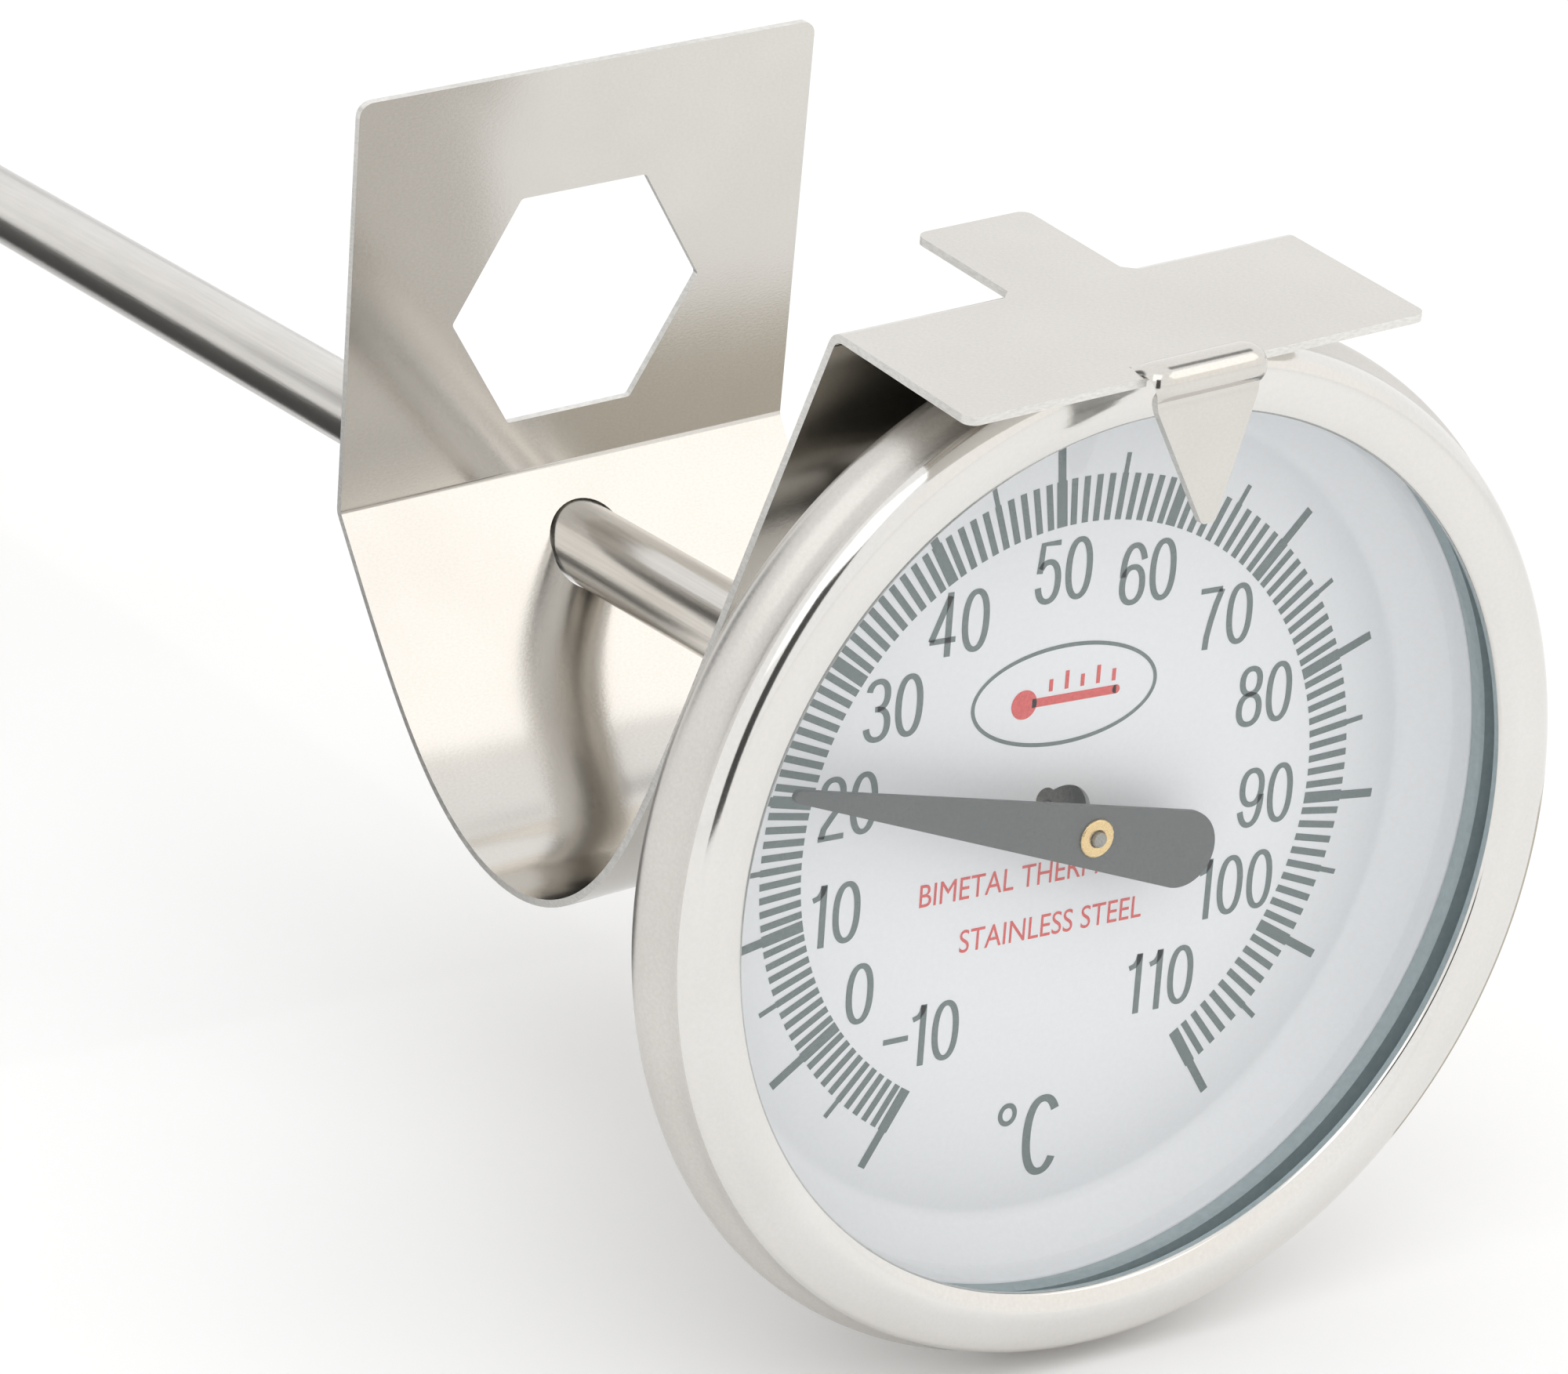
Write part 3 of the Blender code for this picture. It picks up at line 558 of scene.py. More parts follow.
DIGIT = 3.1
NUMBERS = {0: (-10.83, -6.89), 10: (-12.51, -2.64), 20: (-12.19, 2.63), 30: (-10.07, 7.04),
           40: (-6.75, 10.64),
           50: (-1.07, 12.38), 60: (3.8, 11.64), 70: (8.6, 8.78), 80: (11.44, 4.45), 90: (12.11, -0.81),
           100: (10.7, -5.15), 110: (6.68, -9.36)}
for value, (nx, nz) in NUMBERS.items():
    digits("number_%d" % value, str(value), nx, nz, DIGIT)
digits("number_minus_10", "10", -6.4, -9.67, DIGIT)
flat_print("minus_sign", [[(-9.3, -9.8), (-7.9, -9.8), (-7.9, -9.52), (-9.3, -9.52)]], PRINT)
digits("unit_c", "C", 0.35, -16.25, 4.2)


def ring_shape(cx, cz, rx, rz, width, count=96):
    """An elliptical outline as quads."""
    shapes = []
    for i in range(count):
        quad = []
        for t, k in ((i, 0.0), (i + 1, 0.0), (i + 1, 1.0), (i, 1.0)):
            a = math.tau * t / count
            quad.append((cx + (rx - k * width) * math.cos(a), cz + (rz - k * width) * math.sin(a)))
        shapes.append(quad)
    return shapes


flat_print("unit_ring", ring_shape(-1.75, -14.8, 0.55, 0.6, 0.26, 40), PRINT)
flat_print("badge_outline", ring_shape(-0.45, 6.25, 5.3, 2.5, 0.2), PRINT)


def disc(cx, cz, r, count=32):
    turns = [math.tau * i / count for i in range(count)]
    return [(cx + r * math.cos(a), cz + r * math.sin(a)) for a in turns]


# a plain thermometer symbol in the badge: bulb, tube and five marks
badge = [disc(-2.75, 6.05, 0.72), [(-2.3, 5.83), (2.5, 5.83), (2.5, 6.27), (-2.3, 6.27)],
         disc(2.5, 6.05, 0.22)]
for i in range(5):
    left, right = -1.4 + i * 0.9, -1.18 + i * 0.9
    top = 7.1 + 0.3 * (i % 2)
    badge.append([(left, 6.5), (right, 6.5), (right, top), (left, top)])
flat_print("badge_symbol", badge, RED_PRINT)
lettering("legend_upper", "BIMETAL THERMOMETER", 0.0, -2.6, 1.15, RED_PRINT, 0.86)
lettering("legend_lower", "STAINLESS STEEL", -0.1, -5.3, 1.15, RED_PRINT, 0.86)

# ---- pointer ---------------------------------------------------------------
POINTER_FRONT = depth_of(pointer_lo.y)
POINTER_BACK = depth_of(pointer_hi.y)
POINTER_TIP = 17.7
POINTER_TAIL = 7.3
TAIL_HALF = 1.92
TIP_HALF = 0.3
POINTER_BEVEL = 0.05
HUB_BORE = 0.39
SHAFT_R = 0.37
# the pointer's heading comes from the far corner of its node
far = max(NODES["pointer"].data.vertices, key=lambda v: (v.co.x - AXIS_X) ** 2 + (v.co.z - AXIS_Z) ** 2).co
HEADING = math.atan2(far.x - AXIS_X, far.z - AXIS_Z)


def build_pointer():
    outline = []
    tail_c = -(POINTER_TAIL - TAIL_HALF)
    tip_c = POINTER_TIP - TIP_HALF
    for i in range(33):
        a = math.pi + math.pi * i / 32
        outline.append(Vector((TAIL_HALF * math.cos(a), tail_c + TAIL_HALF * math.sin(a))))
    for i in range(13):
        a = math.pi * i / 12
        outline.append(Vector((TIP_HALF * math.cos(a), tip_c + TIP_HALF * math.sin(a))))
    middle = Vector((0.0, 2.0))
    layers = [(POINTER_BEVEL, POINTER_FRONT), (0.0, POINTER_FRONT + POINTER_BEVEL),
              (0.0, POINTER_BACK - POINTER_BEVEL), (POINTER_BEVEL, POINTER_BACK)]
    verts = []
    c, s = math.cos(HEADING), math.sin(HEADING)
    for shrink, d in layers:
        for p in outline:
            q = p - (p - middle).normalized() * shrink
            verts.append(place(q.x * c + q.y * s, d, -q.x * s + q.y * c))
    n = len(outline)
    faces = [tuple(range(n)), tuple(range(3 * n, 4 * n))[::-1]]
    for k in range(3):
        for i in range(n):
            j = (i + 1) % n
            faces.append((k * n + i, k * n + j, (k + 1) * n + j, (k + 1) * n + i))
    ob = finish_mesh("pointer_fine", verts, faces, [POINTER_PAINT], sharp=25.0)
    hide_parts("pointer")
    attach(ob, "pointer_group")


build_pointer()
hub_top = POINTER_FRONT - 0.18
hub_foot = POINTER_FRONT - 0.02
hub = turned("hub_fine", softened([(HUB_BORE, POINTER_FRONT - 0.12), (0.44, hub_top), (0.88, hub_top),
                                   (0.95, POINTER_FRONT - 0.1), (0.95, hub_foot), (HUB_BORE, hub_foot)],
                                  0.05, 3), [BRASS], 64)
collar_front = POINTER_BACK + 0.03
collar_back = POINTER_BACK + 0.8
back = turned("hub_back_fine", softened([(HUB_BORE, collar_front), (1.1, collar_front), (1.1, collar_back),
                                         (HUB_BORE, collar_back)], 0.05, 3), [BRASS], 64)
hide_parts("pointer_hub")
for piece in (hub, back):
    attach(piece, "pointer_group")
shaft_lo, shaft_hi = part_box("pointer_shaft")
shaft_front = depth_of(shaft_lo.y)
shaft_back = depth_of(shaft_hi.y)
shaft = turned("shaft_fine", softened([(0.0, shaft_front), (SHAFT_R, shaft_front), (SHAFT_R, shaft_back),
                                       (0.0, shaft_back)], 0.08, 3), [SHAFT_STEEL], 32, closed=False)
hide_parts("pointer_shaft")
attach(shaft, "pointer_group")

# ---- stem ------------------------------------------------------------------
stem_front = depth_of(stem_lo.y)
tip_end = depth_of(tip_hi.y)
STEM_R = 2.1
TIP_ROUND = 0.6
SEAM_DEPTH = 0.03        # a fine line where the tip is welded on
tube = turned("stem_fine", [(STEM_R, stem_front), (STEM_R, tip_end - 1.2),
                            (STEM_R - SEAM_DEPTH, tip_end - 1.15), (STEM_R, tip_end - 1.1)]
              + arc((STEM_R - TIP_ROUND, tip_end - TIP_ROUND), TIP_ROUND, 0, 90, 8) + [(0.0, tip_end)],
              [STEM_STEEL], 96, closed=False)
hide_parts("stem_tube", "stem_tip")
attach(tube, "stem")

# ---- clip ------------------------------------------------------------------
SHEET = 0.4
CLIP_TURN = math.radians(-4.5)
PLATE_TOP = (26.46, 46.74)
PLATE_BEND = (3.9, 50.25)
U_CENTRE = (0.71, 34.4)
U_RADIUS = 12.16
SPLAY_REAR = 29.9
SPLAY_FRONT = 29.4
BEND_STEPS = 60
BEND_FINE = 20           # integration steps in each of them
EASE = 0.85              # 0 is a circular bend, 1 starts and ends quite straight
SHELF_BACK = (26.05, 6.06)
SHELF_FRONT = (25.06, -4.2)
PLATE_HALF = 13.4
SHELF_HALF = 12.45
TAB_HALF = 3.1
TAB_LENGTH = 7.5
TAB_SLOT = 7.8
MARKER_TIP = 18.05
MARKER_PLANE = -4.6
ROOT_BACK = 1.3          # the marker's crease, behind the shelf's front edge
BEAD_HALF = 2.15         # the pressed bead's straight part, and its rounded ends
BEAD_END = 0.9
FOLD_SOFT = 0.3
HEX_AF = 12.8
HEX_UP = 9.52


class Path:
    """A bent centreline of (height, depth) points, each with its own tangent."""

    def __init__(self, start, towards):
        self.points = [Vector(start)]
        self.tangents = [(Vector(towards) - Vector(start)).normalized()]

    def to(self, point, tangent):
        self.points.append(Vector(point))
        self.tangents.append(Vector(tangent).normalized())

    def corner(self, corner, after, radius, count=8):
        corner, after = Vector(corner), Vector(after)
        t0 = (corner - self.points[-1]).normalized()
        t1 = (after - corner).normalized()
        turn = math.atan2(t0.x * t1.y - t0.y * t1.x, t0.dot(t1))
        reach = radius * math.tan(abs(turn) / 2)
        sign = 1.0 if turn > 0 else -1.0
        side = Vector((-t0.y, t0.x)) * sign
        centre = corner - t0 * reach + side * radius
        for i in range(count + 1):
            a = turn * i / count
            c, s = math.cos(a), math.sin(a)
            spoke = -side
            self.to(centre + Vector((spoke.x * c - spoke.y * s, spoke.x * s + spoke.y * c)) * radius,
                    (t0.x * c - t0.y * s, t0.x * s + t0.y * c))

    def lengths(self):
        total = [0.0]
        for a, b in zip(self.points, self.points[1:]):
            total.append(total[-1] + (b - a).length)
        return total


def bottom_bend():
    """Points and headings of the U under the stem, curving most at the bottom and easing into both legs."""
    rear = Vector((-math.cos(math.radians(SPLAY_REAR)), -math.sin(math.radians(SPLAY_REAR))))
    front = Vector((math.cos(math.radians(SPLAY_FRONT)), -math.sin(math.radians(SPLAY_FRONT))))
    first = math.atan2(rear.y, rear.x) % math.tau
    turn = (math.atan2(front.y, front.x) - first) % math.tau

    def heading(t):
        a = first + turn * (t - EASE * math.sin(math.tau * t) / math.tau)
        return Vector((math.cos(a), math.sin(a)))

    # walk the curve at unit length, then scale and shift it on to both leg lines
    walk = BEND_STEPS * BEND_FINE
    spots = [Vector((0.0, 0.0))]
    ways = [rear.copy()]
    for k in range(walk):
        spots.append(spots[-1] + heading((k + 0.5) / walk) / walk)
        ways.append(heading((k + 1) / walk))
    lowest = min(p.x for p in spots)
    centre = Vector(U_CENTRE)
    rear_on = centre + U_RADIUS * Vector((rear.y, -rear.x))
    front_on = centre + U_RADIUS * Vector((front.y, -front.x))
    # unknowns: how far up the rear line it starts, and its scale
    bottom_height = U_CENTRE[0] - U_RADIUS
    low, high = 10.0, 80.0
    for _ in range(60):
        size = (low + high) / 2
        # start on the rear line so that the end falls on the front line
        reach = spots[-1] * size
        side = Vector((-front.y, front.x))
        along = (front_on - rear_on - reach).dot(side) / (-rear).dot(side)
        start = rear_on - rear * along
        if start.x + lowest * size > bottom_height:
            high = size
        else:
            low = size
    return [(start + spots[k] * size, ways[k]) for k in range(0, walk + 1, BEND_FINE)]


def clip_path():
    """The strip's centreline from the rear plate's top to the marker's tip, and its landmarks."""
    marks = {}
    path = Path(PLATE_TOP, PLATE_BEND)
    bend = bottom_bend()
    path.corner(PLATE_BEND, bend[0][0], 0.6, 6)
    marks["rear_foot"] = len(path.points) - 1
    for i, (spot, way) in enumerate(bend):
        path.to(spot, way)
        if i == BEND_STEPS // 2:
            marks["bottom"] = len(path.points) - 1
    marks["leg_foot"] = len(path.points) - 1
    path.corner(SHELF_BACK, SHELF_FRONT, 0.9, 8)
    marks["shelf"] = len(path.points) - 1
    # the marker's root: the sheet rises into a pressed bead, rolls over and comes back to a flat
    bead = [(0.125, ROOT_BACK), (0.17, 1.06), (0.38, 0.78), (0.52, 0.35), (0.49, -0.1), (0.29, -0.47),
            (-0.05, -0.66), (-0.4, -0.62), (-0.66, -0.42), (-0.84, -0.24), (-1.1, -0.17), (-1.45, -0.20)]
    spots = [Vector((SHELF_FRONT[0] + u, SHELF_FRONT[1] + d)) for u, d in bead]
    flat = Vector((MARKER_TIP, MARKER_PLANE))
    shelf_way = (Vector(SHELF_FRONT) - Vector(SHELF_BACK)).normalized()
    fine = []
    padded = [spots[0] - shelf_way] + spots + [spots[-1] + (flat - spots[-1]).normalized()]
    for p0, p1, p2, p3 in zip(padded, padded[1:], padded[2:], padded[3:]):
        slope = p2 - p0
        square = 2 * p0 - 5 * p1 + 4 * p2 - p3
        cube = 3 * p1 - p0 - 3 * p2 + p3
        for i in range(4):
            t = i / 4
            pos = 0.5 * ((2 * p1) + slope * t + square * t ** 2 + cube * t ** 3)
            way = 0.5 * (slope + 2 * square * t + 3 * cube * t ** 2)
            fine.append((pos, way))
    marks["hump"] = len(path.points)
    path.to(fine[0][0], shelf_way)
    for pos, way in fine[1:]:
        path.to(pos, way)
    path.to(spots[-1], flat - spots[-1])
    path.to(flat, flat - spots[-1])
    return path, marks


PATH, MARKS = clip_path()
RUN = PATH.lengths()
CLIP_BASIS = Matrix.Rotation(CLIP_TURN, 3, "Y")


def bend_point(path, run, s):
    """Centreline point and normal at a distance along the strip."""
    k = 0
    while k < len(run) - 2 and s > run[k + 1]:
        k += 1
    t = (s - run[k]) / max(run[k + 1] - run[k], 1e-9)
    point = path.points[k].lerp(path.points[k + 1], t)
    way = path.tangents[k].lerp(path.tangents[k + 1], min(1.0, max(0.0, t))).normalized()
    return point, Vector((-way.y, way.x))


def clip_world(u, d, w):
    local = CLIP_BASIS @ Vector((w, 0.0, u))
    return place(local.x, d, local.z)


def round_corner(before, corner, after, radius, count=6):
    """Points of a fillet at one corner of a flat outline."""
    a = (Vector(before) - Vector(corner)).normalized()
    b = (Vector(after) - Vector(corner)).normalized()
    half = a.angle(b) / 2
    reach = radius / math.tan(half)
    centre = Vector(corner) + (a + b).normalized() * radius / math.sin(half)
    p = Vector(corner) + a * reach
    q = Vector(corner) + b * reach
    start = math.atan2(p.y - centre.y, p.x - centre.x)
    turn = (math.atan2(q.y - centre.y, q.x - centre.x) - start + math.pi) % math.tau - math.pi
    points = []
    for i in range(count + 1):
        ang = start + turn * i / count
        points.append((centre.x + radius * math.cos(ang), centre.y + radius * math.sin(ang)))
    return points


def filleted(outline):
    """A closed outline from (s, w, corner radius) points."""
    points = []
    n = len(outline)
    for i, (s, w, r) in enumerate(outline):
        if r <= 0:
            points.append((s, w))
            continue
        points += round_corner(outline[i - 1][:2], (s, w), outline[(i + 1) % n][:2], r)
    return points


def inside(point, outline):
    hit = False
    x, y = point
    for (x0, y0), (x1, y1) in zip(outline, outline[1:] + outline[:1]):
        if (y0 > y) != (y1 > y) and x < (x1 - x0) * (y - y0) / (y1 - y0) + x0:
            hit = not hit
    return hit


def sheet_mesh(outlines, cuts, place_at, lengthwise=()):
    """Thick sheet from flat outlines (the first is the outside, the rest are holes).

    cuts are the distances where the sheet is divided so that it can bend there, and place_at
    turns a flat (s, w) into a world point and a world normal. lengthwise holds further edges
    between two flat points.
    """
    flat = []
    edges = []
    for outline in outlines:
        first = len(flat)
        flat += [Vector(p) for p in outline]
        n = len(outline)
        edges += [(first + i, first + (i + 1) % n) for i in range(n)]
    for s in cuts:
        first = len(flat)
        flat += [Vector((s, -20.0)), Vector((s, 20.0))]
        edges.append((first, first + 1))
    for (s0, w0), (s1, w1) in lengthwise:
        first = len(flat)
        flat += [Vector((s0, w0)), Vector((s1, w1))]
        edges.append((first, first + 1))
    points, _, tris, *_ = geometry.delaunay_2d_cdt(flat, edges, [], 0, 1e-6)
    kept = []
    for tri in tris:
        mid = (points[tri[0]] + points[tri[1]] + points[tri[2]]) / 3
        if not inside(mid, outlines[0]):
            continue
        if any(inside(mid, hole) for hole in outlines[1:]):
            continue
        kept.append(tri)
    verts = []
    normals = []
    faces = []
    indices = []
    uvs = []
    count = {}
    for tri in kept:
        for a, b in ((0, 1), (1, 2), (2, 0)):
            key = frozenset((tri[a], tri[b]))
            count.setdefault(key, []).append((tri[a], tri[b]))
    half = SHEET / 2 * MM
    used = sorted({i for tri in kept for i in tri})
    for side in (1, -1):
        where = {}
        for i in used:
            pos, normal = place_at(points[i])
            where[i] = len(verts)
            verts.append(pos + normal * half * side)
            normals.append(normal * side)
            uvs.append(points[i] * MM)
        for tri in kept:
            ids = [where[i] for i in tri]
            faces.append(ids if side > 0 else ids[::-1])
            indices.append(0)
    # the cut edge
    for pair in count.values():
        if len(pair) != 1:
            continue
        i, j = pair[0]
        pi, ni = place_at(points[i])
        pj, nj = place_at(points[j])
        out = (pj - pi).cross((ni + nj) / 2).normalized()
        first = len(verts)
        for pos, normal, side, p in ((pi, ni, 1, points[i]), (pj, nj, 1, points[j]), (pj, nj, -1, points[j]),
                                     (pi, ni, -1, points[i])):
            verts.append(pos + normal * half * side)
            normals.append(out)
            uvs.append(p * MM)
        faces.append([first, first + 3, first + 2, first + 1])
        indices.append(1)
    return verts, normals, faces, indices, uvs


SLIT = 0.012             # half the gap between the marker's root and the shelf beside it
KNEE = 0.4               # share of the front leg where it reaches the shelf's width
CORNER = 0.6
MARKER_HALF = 2.72
POINT_HALF = 0.36
WEB = 0.75               # fillet at the tab's root
REAR_HOLE = (2.18, 0.28)         # radius, and how far each end is stretched
FRONT_HOLE = (2.3, 0.42)
REAR_HOLE_HEIGHT = -0.06


def width_at(s):
    """The strip narrows slightly from the rear plate to the shelf."""
    bottom = RUN[MARKS["bottom"]]
    middle = (PLATE_HALF + SHELF_HALF) / 2
    rear = bottom * 0.5
    shelf_end = RUN[MARKS["hump"]] + ROOT_BACK
    front = bottom + (shelf_end - bottom) * KNEE
    if s < rear:
        return PLATE_HALF
    if s < bottom:
        return PLATE_HALF + (middle - PLATE_HALF) * (s - rear) / (bottom - rear)
    if s < front:
        return middle + (SHELF_HALF - middle) * (s - bottom) / (front - bottom)
    return SHELF_HALF


def circle_cut(s, radius, stretch, count=48):
    points = []
    for i in range(count):
        a = math.tau * i / count
        shift = stretch if math.cos(a) > 0 else -stretch
        points.append((s + radius * math.cos(a) + shift, radius * math.sin(a)))
    return points


def distance_where(height, rear):
    """How far along the strip a leg passes a height."""
    first, last = ("rear_foot", "bottom") if rear else ("bottom", "shelf")
    low, high = RUN[MARKS[first]], RUN[MARKS[last]]
    for _ in range(40):
        mid = (low + high) / 2
        above = bend_point(PATH, RUN, mid)[0].x > height
        if above == rear:
            low = mid
        else:
            high = mid
    return (low + high) / 2


def build_clip():
    edge = RUN[MARKS["hump"]] + ROOT_BACK           # the shelf's front edge
    hump = RUN[MARKS["hump"]]
    end = RUN[-1]
    shelf = RUN[MARKS["shelf"]]
    slot_start = RUN[MARKS["leg_foot"] + 1] - TAB_SLOT
    bottom = RUN[MARKS["bottom"]]
    knee = bottom + (edge - bottom) * KNEE
    root_half = TAB_HALF - 0.12
    flat_s = RUN[-2]
    half = [(0.0, width_at(0), 0.75), (bottom * 0.5, width_at(bottom * 0.5), 0),
            (bottom, width_at(bottom), 0), (knee, SHELF_HALF, 0), (edge, SHELF_HALF, CORNER),
            (edge, TAB_HALF + SLIT, 0),
            (hump, TAB_HALF + SLIT, 0), (hump, TAB_HALF - SLIT, 0), (edge + 0.5, root_half, 0.3),
            (flat_s, MARKER_HALF, 0), (end, POINT_HALF, 0.3)]
    outline = filleted([(s, -w, r) for s, w, r in half] + [(s, w, r) for s, w, r in half[::-1]])
    holes = [filleted([(slot_start, -TAB_HALF, CORNER), (shelf, -TAB_HALF, 0), (shelf, TAB_HALF, 0),
                       (slot_start, TAB_HALF, CORNER)])]
    r = HEX_AF / math.sqrt(3)
    plate = (Vector(PLATE_TOP) - Vector(PLATE_BEND)).length
    turns = [math.tau * i / 6 for i in range(6)]
    hexagon = [(plate - HEX_UP + r * math.sin(a), r * math.cos(a), 0.28) for a in turns]
    holes.append(filleted(hexagon))
    holes.append(circle_cut(distance_where(REAR_HOLE_HEIGHT, True), *REAR_HOLE))
    holes.append(circle_cut(distance_where(0.0, False), *FRONT_HOLE))

    shelf_way = (Vector(SHELF_FRONT) - Vector(SHELF_BACK)).normalized()
    root_end = PATH.points[-2]
    crease = PATH.points[MARKS["hump"]]
    fold = crease + shelf_way * (ROOT_BACK + 0.1)
    shelf_part = (fold - crease).length
    drop_part = (root_end - fold).length

    def plain_fold(s):
        """The strip without its bead: flat to the edge, then straight down to the marker."""
        t = (s - hump) / (flat_s - hump) * (shelf_part + drop_part)
        if t < shelf_part - FOLD_SOFT:
            return crease + shelf_way * t
        if t > shelf_part + FOLD_SOFT:
            return fold.lerp(root_end, (t - shelf_part) / drop_part)
        k = (t - shelf_part + FOLD_SOFT) / (2 * FOLD_SOFT)
        a = fold - shelf_way * FOLD_SOFT
        b = fold + (root_end - fold).normalized() * FOLD_SOFT
        return a.lerp(fold, k).lerp(fold.lerp(b, k), k)

    def strip_point(s, w):
        if s > hump and abs(w) > TAB_HALF:
            # beside the marker the shelf runs on flat to its edge
            return crease + shelf_way * (s - hump)
        point = bend_point(PATH, RUN, s)[0]
        if hump < s < flat_s:
            cap = min(1.0, max(0.0, (abs(w) - BEAD_HALF) / BEAD_END))
            return plain_fold(s).lerp(point, math.sqrt(1.0 - cap * cap))
        return point

    def on_strip(p):
        point = strip_point(p.x, p.y)
        pos = clip_world(point.x, point.y, p.y)
        normal = bend_point(PATH, RUN, p.x)[1]
        if p.x > hump and abs(p.y) > TAB_HALF:
            normal = Vector((-shelf_way.y, shelf_way.x))
        tip = CLIP_BASIS @ Vector((0.0, normal.y, normal.x))
        if hump < p.x < flat_s and abs(p.y) <= TAB_HALF:
            step = 0.04
            low_w, high_w = max(-TAB_HALF, p.y - step), min(TAB_HALF, p.y + step)
            a, b = strip_point(p.x, low_w), strip_point(p.x, high_w)
            c, d = strip_point(p.x - step, p.y), strip_point(p.x + step, p.y)
            across = clip_world(b.x, b.y, high_w) - clip_world(a.x, a.y, low_w)
            along = clip_world(d.x, d.y, p.y) - clip_world(c.x, c.y, p.y)
            tip = along.cross(across)
        return pos, tip.normalized()

    seams = [side * (BEAD_HALF + BEAD_END * k / 8) for side in (-1, 1) for k in range(9)] + [-1.0, 0.0, 1.0]
    parts = [sheet_mesh([outline] + holes, RUN[1:-1], on_strip, [((hump, w), (flat_s, w)) for w in seams])]
    back_way = (Vector(SHELF_BACK) - Vector(SHELF_FRONT)).normalized()
    base = PATH.points[MARKS["shelf"]]
    reach = (Vector(SHELF_BACK) + back_way * TAB_LENGTH - base).length
    root = TAB_HALF + WEB
    tab = filleted([(0.0, -root, 0), (0.02, -root, 0), (WEB, -TAB_HALF, 0), (reach, -TAB_HALF, CORNER),
                    (reach, TAB_HALF, CORNER), (WEB, TAB_HALF, 0), (0.02, root, 0), (0.0, root, 0)])

    def on_tab(p):
        point = base + back_way * p.x
        normal = bend_point(PATH, RUN, shelf + 1.0)[1]
        tip = CLIP_BASIS @ Vector((0.0, normal.y, normal.x))
        return clip_world(point.x, point.y, -p.y), tip.normalized()

    parts.append(sheet_mesh([tab], [], on_tab))
    verts, normals, faces, indices, uvs = [], [], [], [], []
    for v, n, f, k, t in parts:
        first = len(verts)
        verts += v
        normals += n
        uvs += t
        indices += k
        faces += [[i + first for i in face] for face in f]
    mesh = bpy.data.meshes.new("clip_fine")
    mesh.from_pydata(verts, [], faces)
    mesh.materials.append(SHEET_STEEL)
    mesh.materials.append(CUT_EDGE)
    mesh.polygons.foreach_set("material_index", indices)
    mesh.polygons.foreach_set("use_smooth", [True] * len(mesh.polygons))
    layer = mesh.uv_layers.new(name="UVMap")
    for loop in mesh.loops:
        layer.data[loop.index].uv = uvs[loop.vertex_index]
    mesh.normals_split_custom_set_from_vertices(normals)
    ob = bpy.data.objects.new("clip_fine", mesh)
    bpy.context.scene.collection.objects.link(ob)
    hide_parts("clip_front", "clip_rear")
    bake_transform(ob)


build_clip()

# ---- CAD nodes that stay ---------------------------------------------------
KEPT = {"calibration_nut": NUT_STEEL, "case_seal": BLACK_RUBBER, "friction_washer": SPRING_STEEL,
        "retaining_collar": BRASS, "neck_sleeve": BRASS, "upper_bushing": SHAFT_STEEL,
        "middle_bushing": BRASS, "lower_bushing": BRASS, "coil_anchor": BRASS, "coil_collar": BRASS,
        "bimetal_helix": SPRING_STEEL}
for name, mat in KEPT.items():
    mesh = NODES[name].data
    mesh.materials.clear()
    mesh.materials.append(mat)

# ---- floor, light and camera ----------------------------------------------
floor_mat, floor_tree, floor_shader = new_material("pale_floor")
floor_shader.inputs["Roughness"].default_value = 0.9
floor_noise = noise(floor_tree, stretched(floor_tree, (1.0, 1.0, 1.0)), 30.0, 2.0)
floor_tree.links.new(ramp(floor_tree, floor_noise, [(0.3, (0.95, 0.95, 0.95)), (0.7, (0.965, 0.965, 0.965))]),
                     floor_shader.inputs["Base Color"])
floor = finish_mesh("floor", [(-6, -6, 0), (6, -6, 0), (6, 6, 0), (-6, 6, 0)], [(0, 1, 2, 3)], [floor_mat],
                    smooth=False)
floor.location.z = min(bezel_lo.z, 0.0) - 0.0001

world = bpy.data.worlds.new("studio")
bpy.context.scene.world = world
world.use_nodes = True
sky = world.node_tree
background = sky.nodes["Background"]
background.inputs["Strength"].default_value = 1.0


def sky_patch(base, direction, inner, outer, colour):
    """Blends a soft patch of another brightness into the tent around one direction."""
    coords = node(sky, "ShaderNodeTexCoord")
    dot = node(sky, "ShaderNodeVectorMath", operation="DOT_PRODUCT")
    dot.inputs[1].default_value = Vector(direction).normalized()
    sky.links.new(coords.outputs["Generated"], dot.inputs[0])
    edge = node(sky, "ShaderNodeMapRange", interpolation_type="SMOOTHSTEP")
    edge.inputs["From Min"].default_value = math.cos(math.radians(outer))
    edge.inputs["From Max"].default_value = math.cos(math.radians(inner))
    sky.links.new(dot.outputs["Value"], edge.inputs["Value"])
    mix = node(sky, "ShaderNodeMix", data_type="RGBA")
    sky.links.new(edge.outputs["Result"], mix.inputs["Factor"])
    if isinstance(base, tuple):
        mix.inputs[6].default_value = (*base, 1.0)
    else:
        sky.links.new(base, mix.inputs[6])
    mix.inputs[7].default_value = (*colour, 1.0)
    return mix.outputs[2]


tent = sky_patch((1.10, 1.10, 1.10), (-0.534, 0.772, 0.341), 4, 20, (0.16, 0.16, 0.16))
tent = sky_patch(tent, (0.53, 0.09, 0.84), 3, 10, (0.3, 0.3, 0.3))
tent = sky_patch(tent, (0.53, -0.69, 0.49), 12, 40, (1.14, 1.11, 1.07))
sky.links.new(tent, background.inputs["Color"])


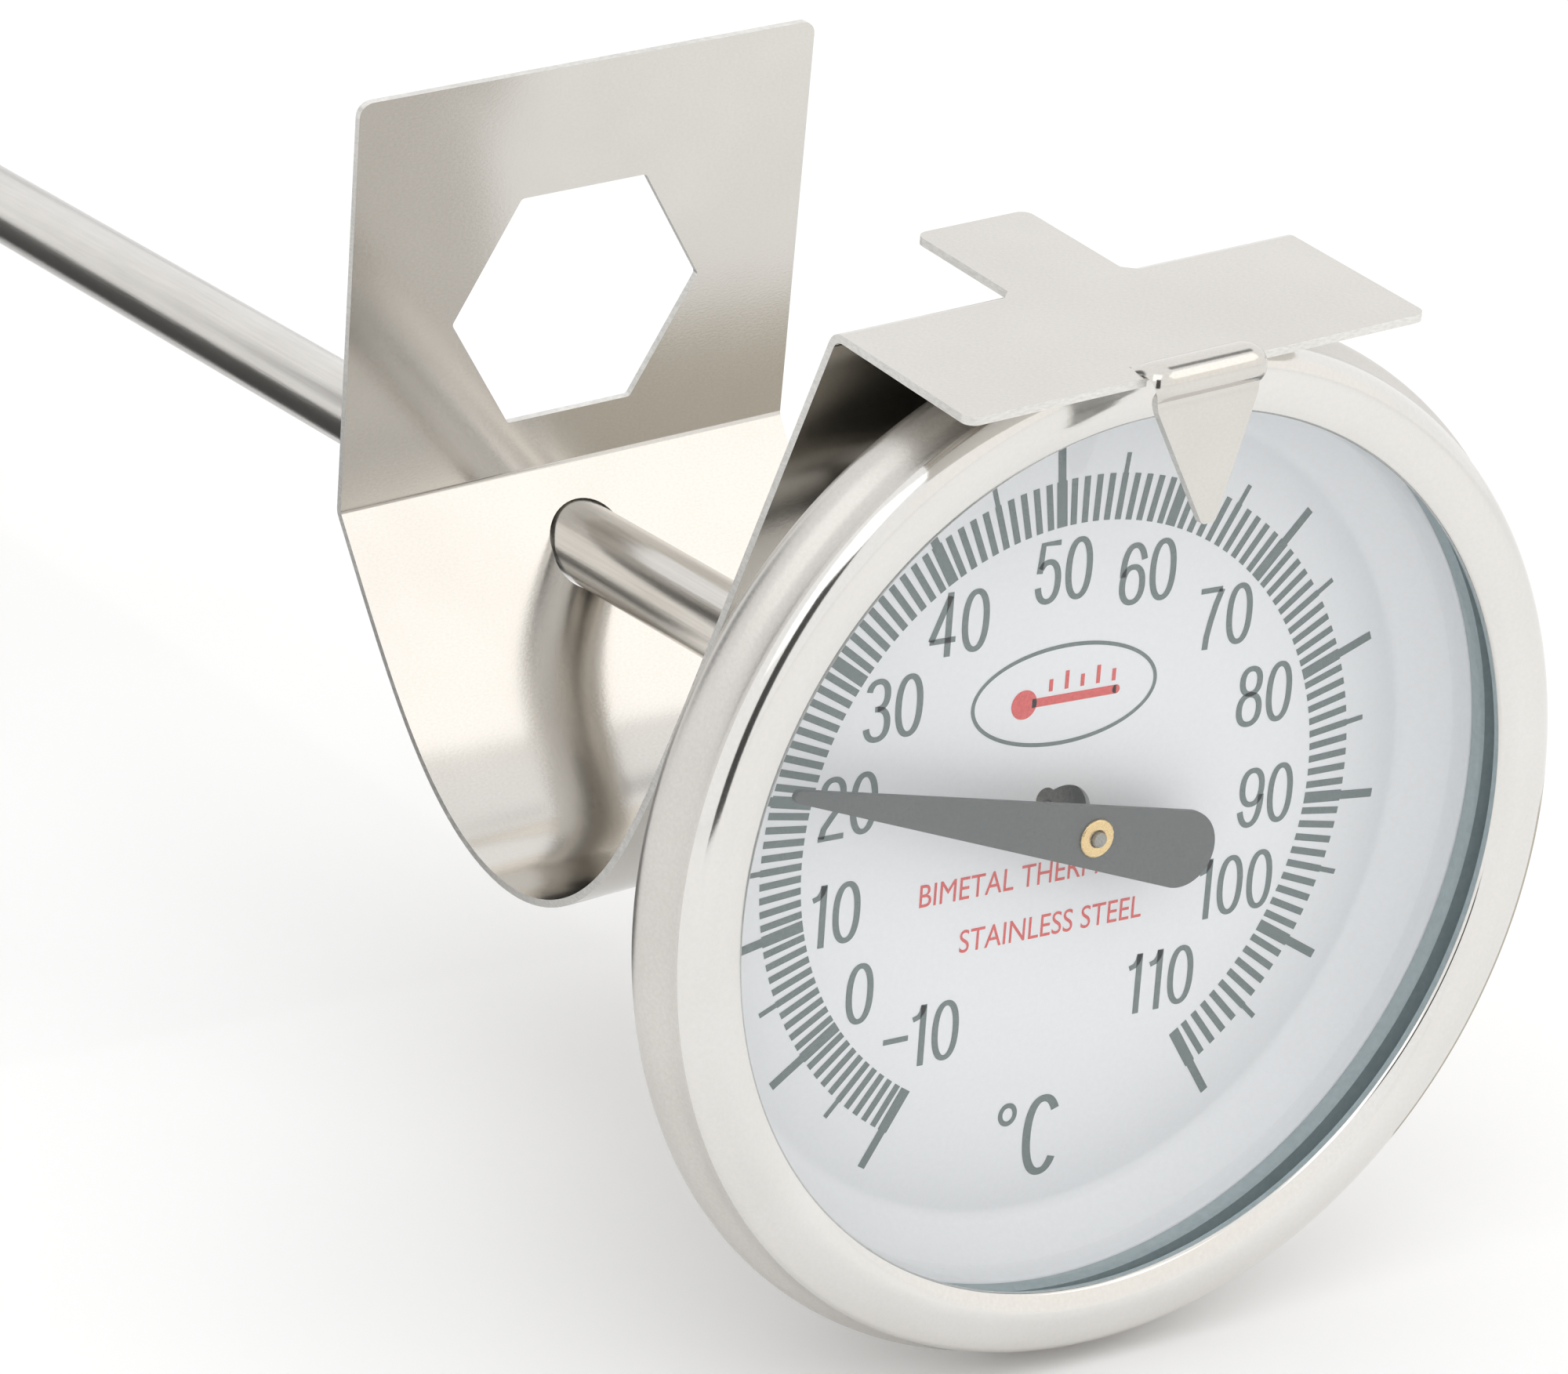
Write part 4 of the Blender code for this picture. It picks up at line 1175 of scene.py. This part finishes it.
def soft_light(name, x, d, z, width, height, watts, aim=(0.0, 20.0, 0.0)):
    data = bpy.data.lights.new(name, "AREA")
    data.shape = "RECTANGLE"
    data.size = width * MM
    data.size_y = height * MM
    data.energy = watts
    ob = bpy.data.objects.new(name, data)
    bpy.context.scene.collection.objects.link(ob)
    ob.location = place(x, d, z)
    ob.rotation_euler = (place(*aim) - ob.location).to_track_quat("-Z", "Y").to_euler()


soft_light("key", -300, -200, 420, 400, 400, 0.25)
soft_light("fill", 150, -150, 200, 160, 160, 0.035, (95.0, -115.0, -25.0))


def studio_card(name, corners, mat):
    """A panel that only polished metal sees: a painted reflection of something dark beside the object."""
    card = finish_mesh(name, [place(*corner) for corner in corners], [(0, 1, 2, 3)], [mat], smooth=False)
    card.visible_camera = False
    card.visible_diffuse = False
    card.visible_shadow = False
    card.visible_transmission = False


# dark colour for the glossy-only panels: the camera's side, and painted shade of the floor in reflections
CARD = dull("card_black", (0.035, 0.035, 0.034), (0.05, 0.05, 0.048), (0.7, 0.9), 200.0)
# beige for painted shade of the floor beside the head, as the rear plate reflects it
FLOOR_SHADE_BEIGE = dull("floor_shade_beige", (0.50, 0.465, 0.40), (0.54, 0.50, 0.43), (0.7, 0.9), 200.0)
studio_card("card_camera", [(-232, -183, -25), (-140, -261, -25), (-140, -261, 245), (-232, -183, 245)], CARD)
# painted shade: the floor behind the head, under the clip and stem, dark as polished metal reflects it
studio_card("floor_shade_card", [(-62, 52, -25.2), (6, 52, -25.2), (6, 420, -25.2), (-62, 420, -25.2)], CARD)
# painted shadow: the floor beside the head's right side, seen only in reflections
studio_card("right_floor_shade_card", [(28, 1, -25.2), (85, 1, -25.2), (85, 40, -25.2), (28, 40, -25.2)], FLOOR_SHADE_BEIGE)

camera_data = bpy.data.cameras.new("camera")
camera = bpy.data.objects.new("camera", camera_data)
bpy.context.scene.collection.objects.link(camera)
CAMERA_AT = (-151.72, -190.36, 96.8)
AZIMUTH = 34.66
ELEVATION = 20.23
ROLL = 3.8
forward = Vector((math.sin(math.radians(AZIMUTH)) * math.cos(math.radians(ELEVATION)),
                  math.cos(math.radians(AZIMUTH)) * math.cos(math.radians(ELEVATION)),
                  -math.sin(math.radians(ELEVATION))))
level = Vector((forward.y, -forward.x, 0.0)).normalized()
upright = level.cross(forward)
right = level * math.cos(math.radians(ROLL)) + upright * math.sin(math.radians(ROLL))
up = upright * math.cos(math.radians(ROLL)) - level * math.sin(math.radians(ROLL))
turn = Matrix((right, up, -forward)).transposed()
camera.matrix_world = Matrix.Translation(place(*CAMERA_AT)) @ turn.to_4x4()
camera_data.sensor_width = 36.0
camera_data.lens = 131.22
camera_data.clip_start = 0.005
camera_data.clip_end = 30.0
bpy.context.scene.camera = camera
bpy.context.scene.view_settings.view_transform = "Standard"
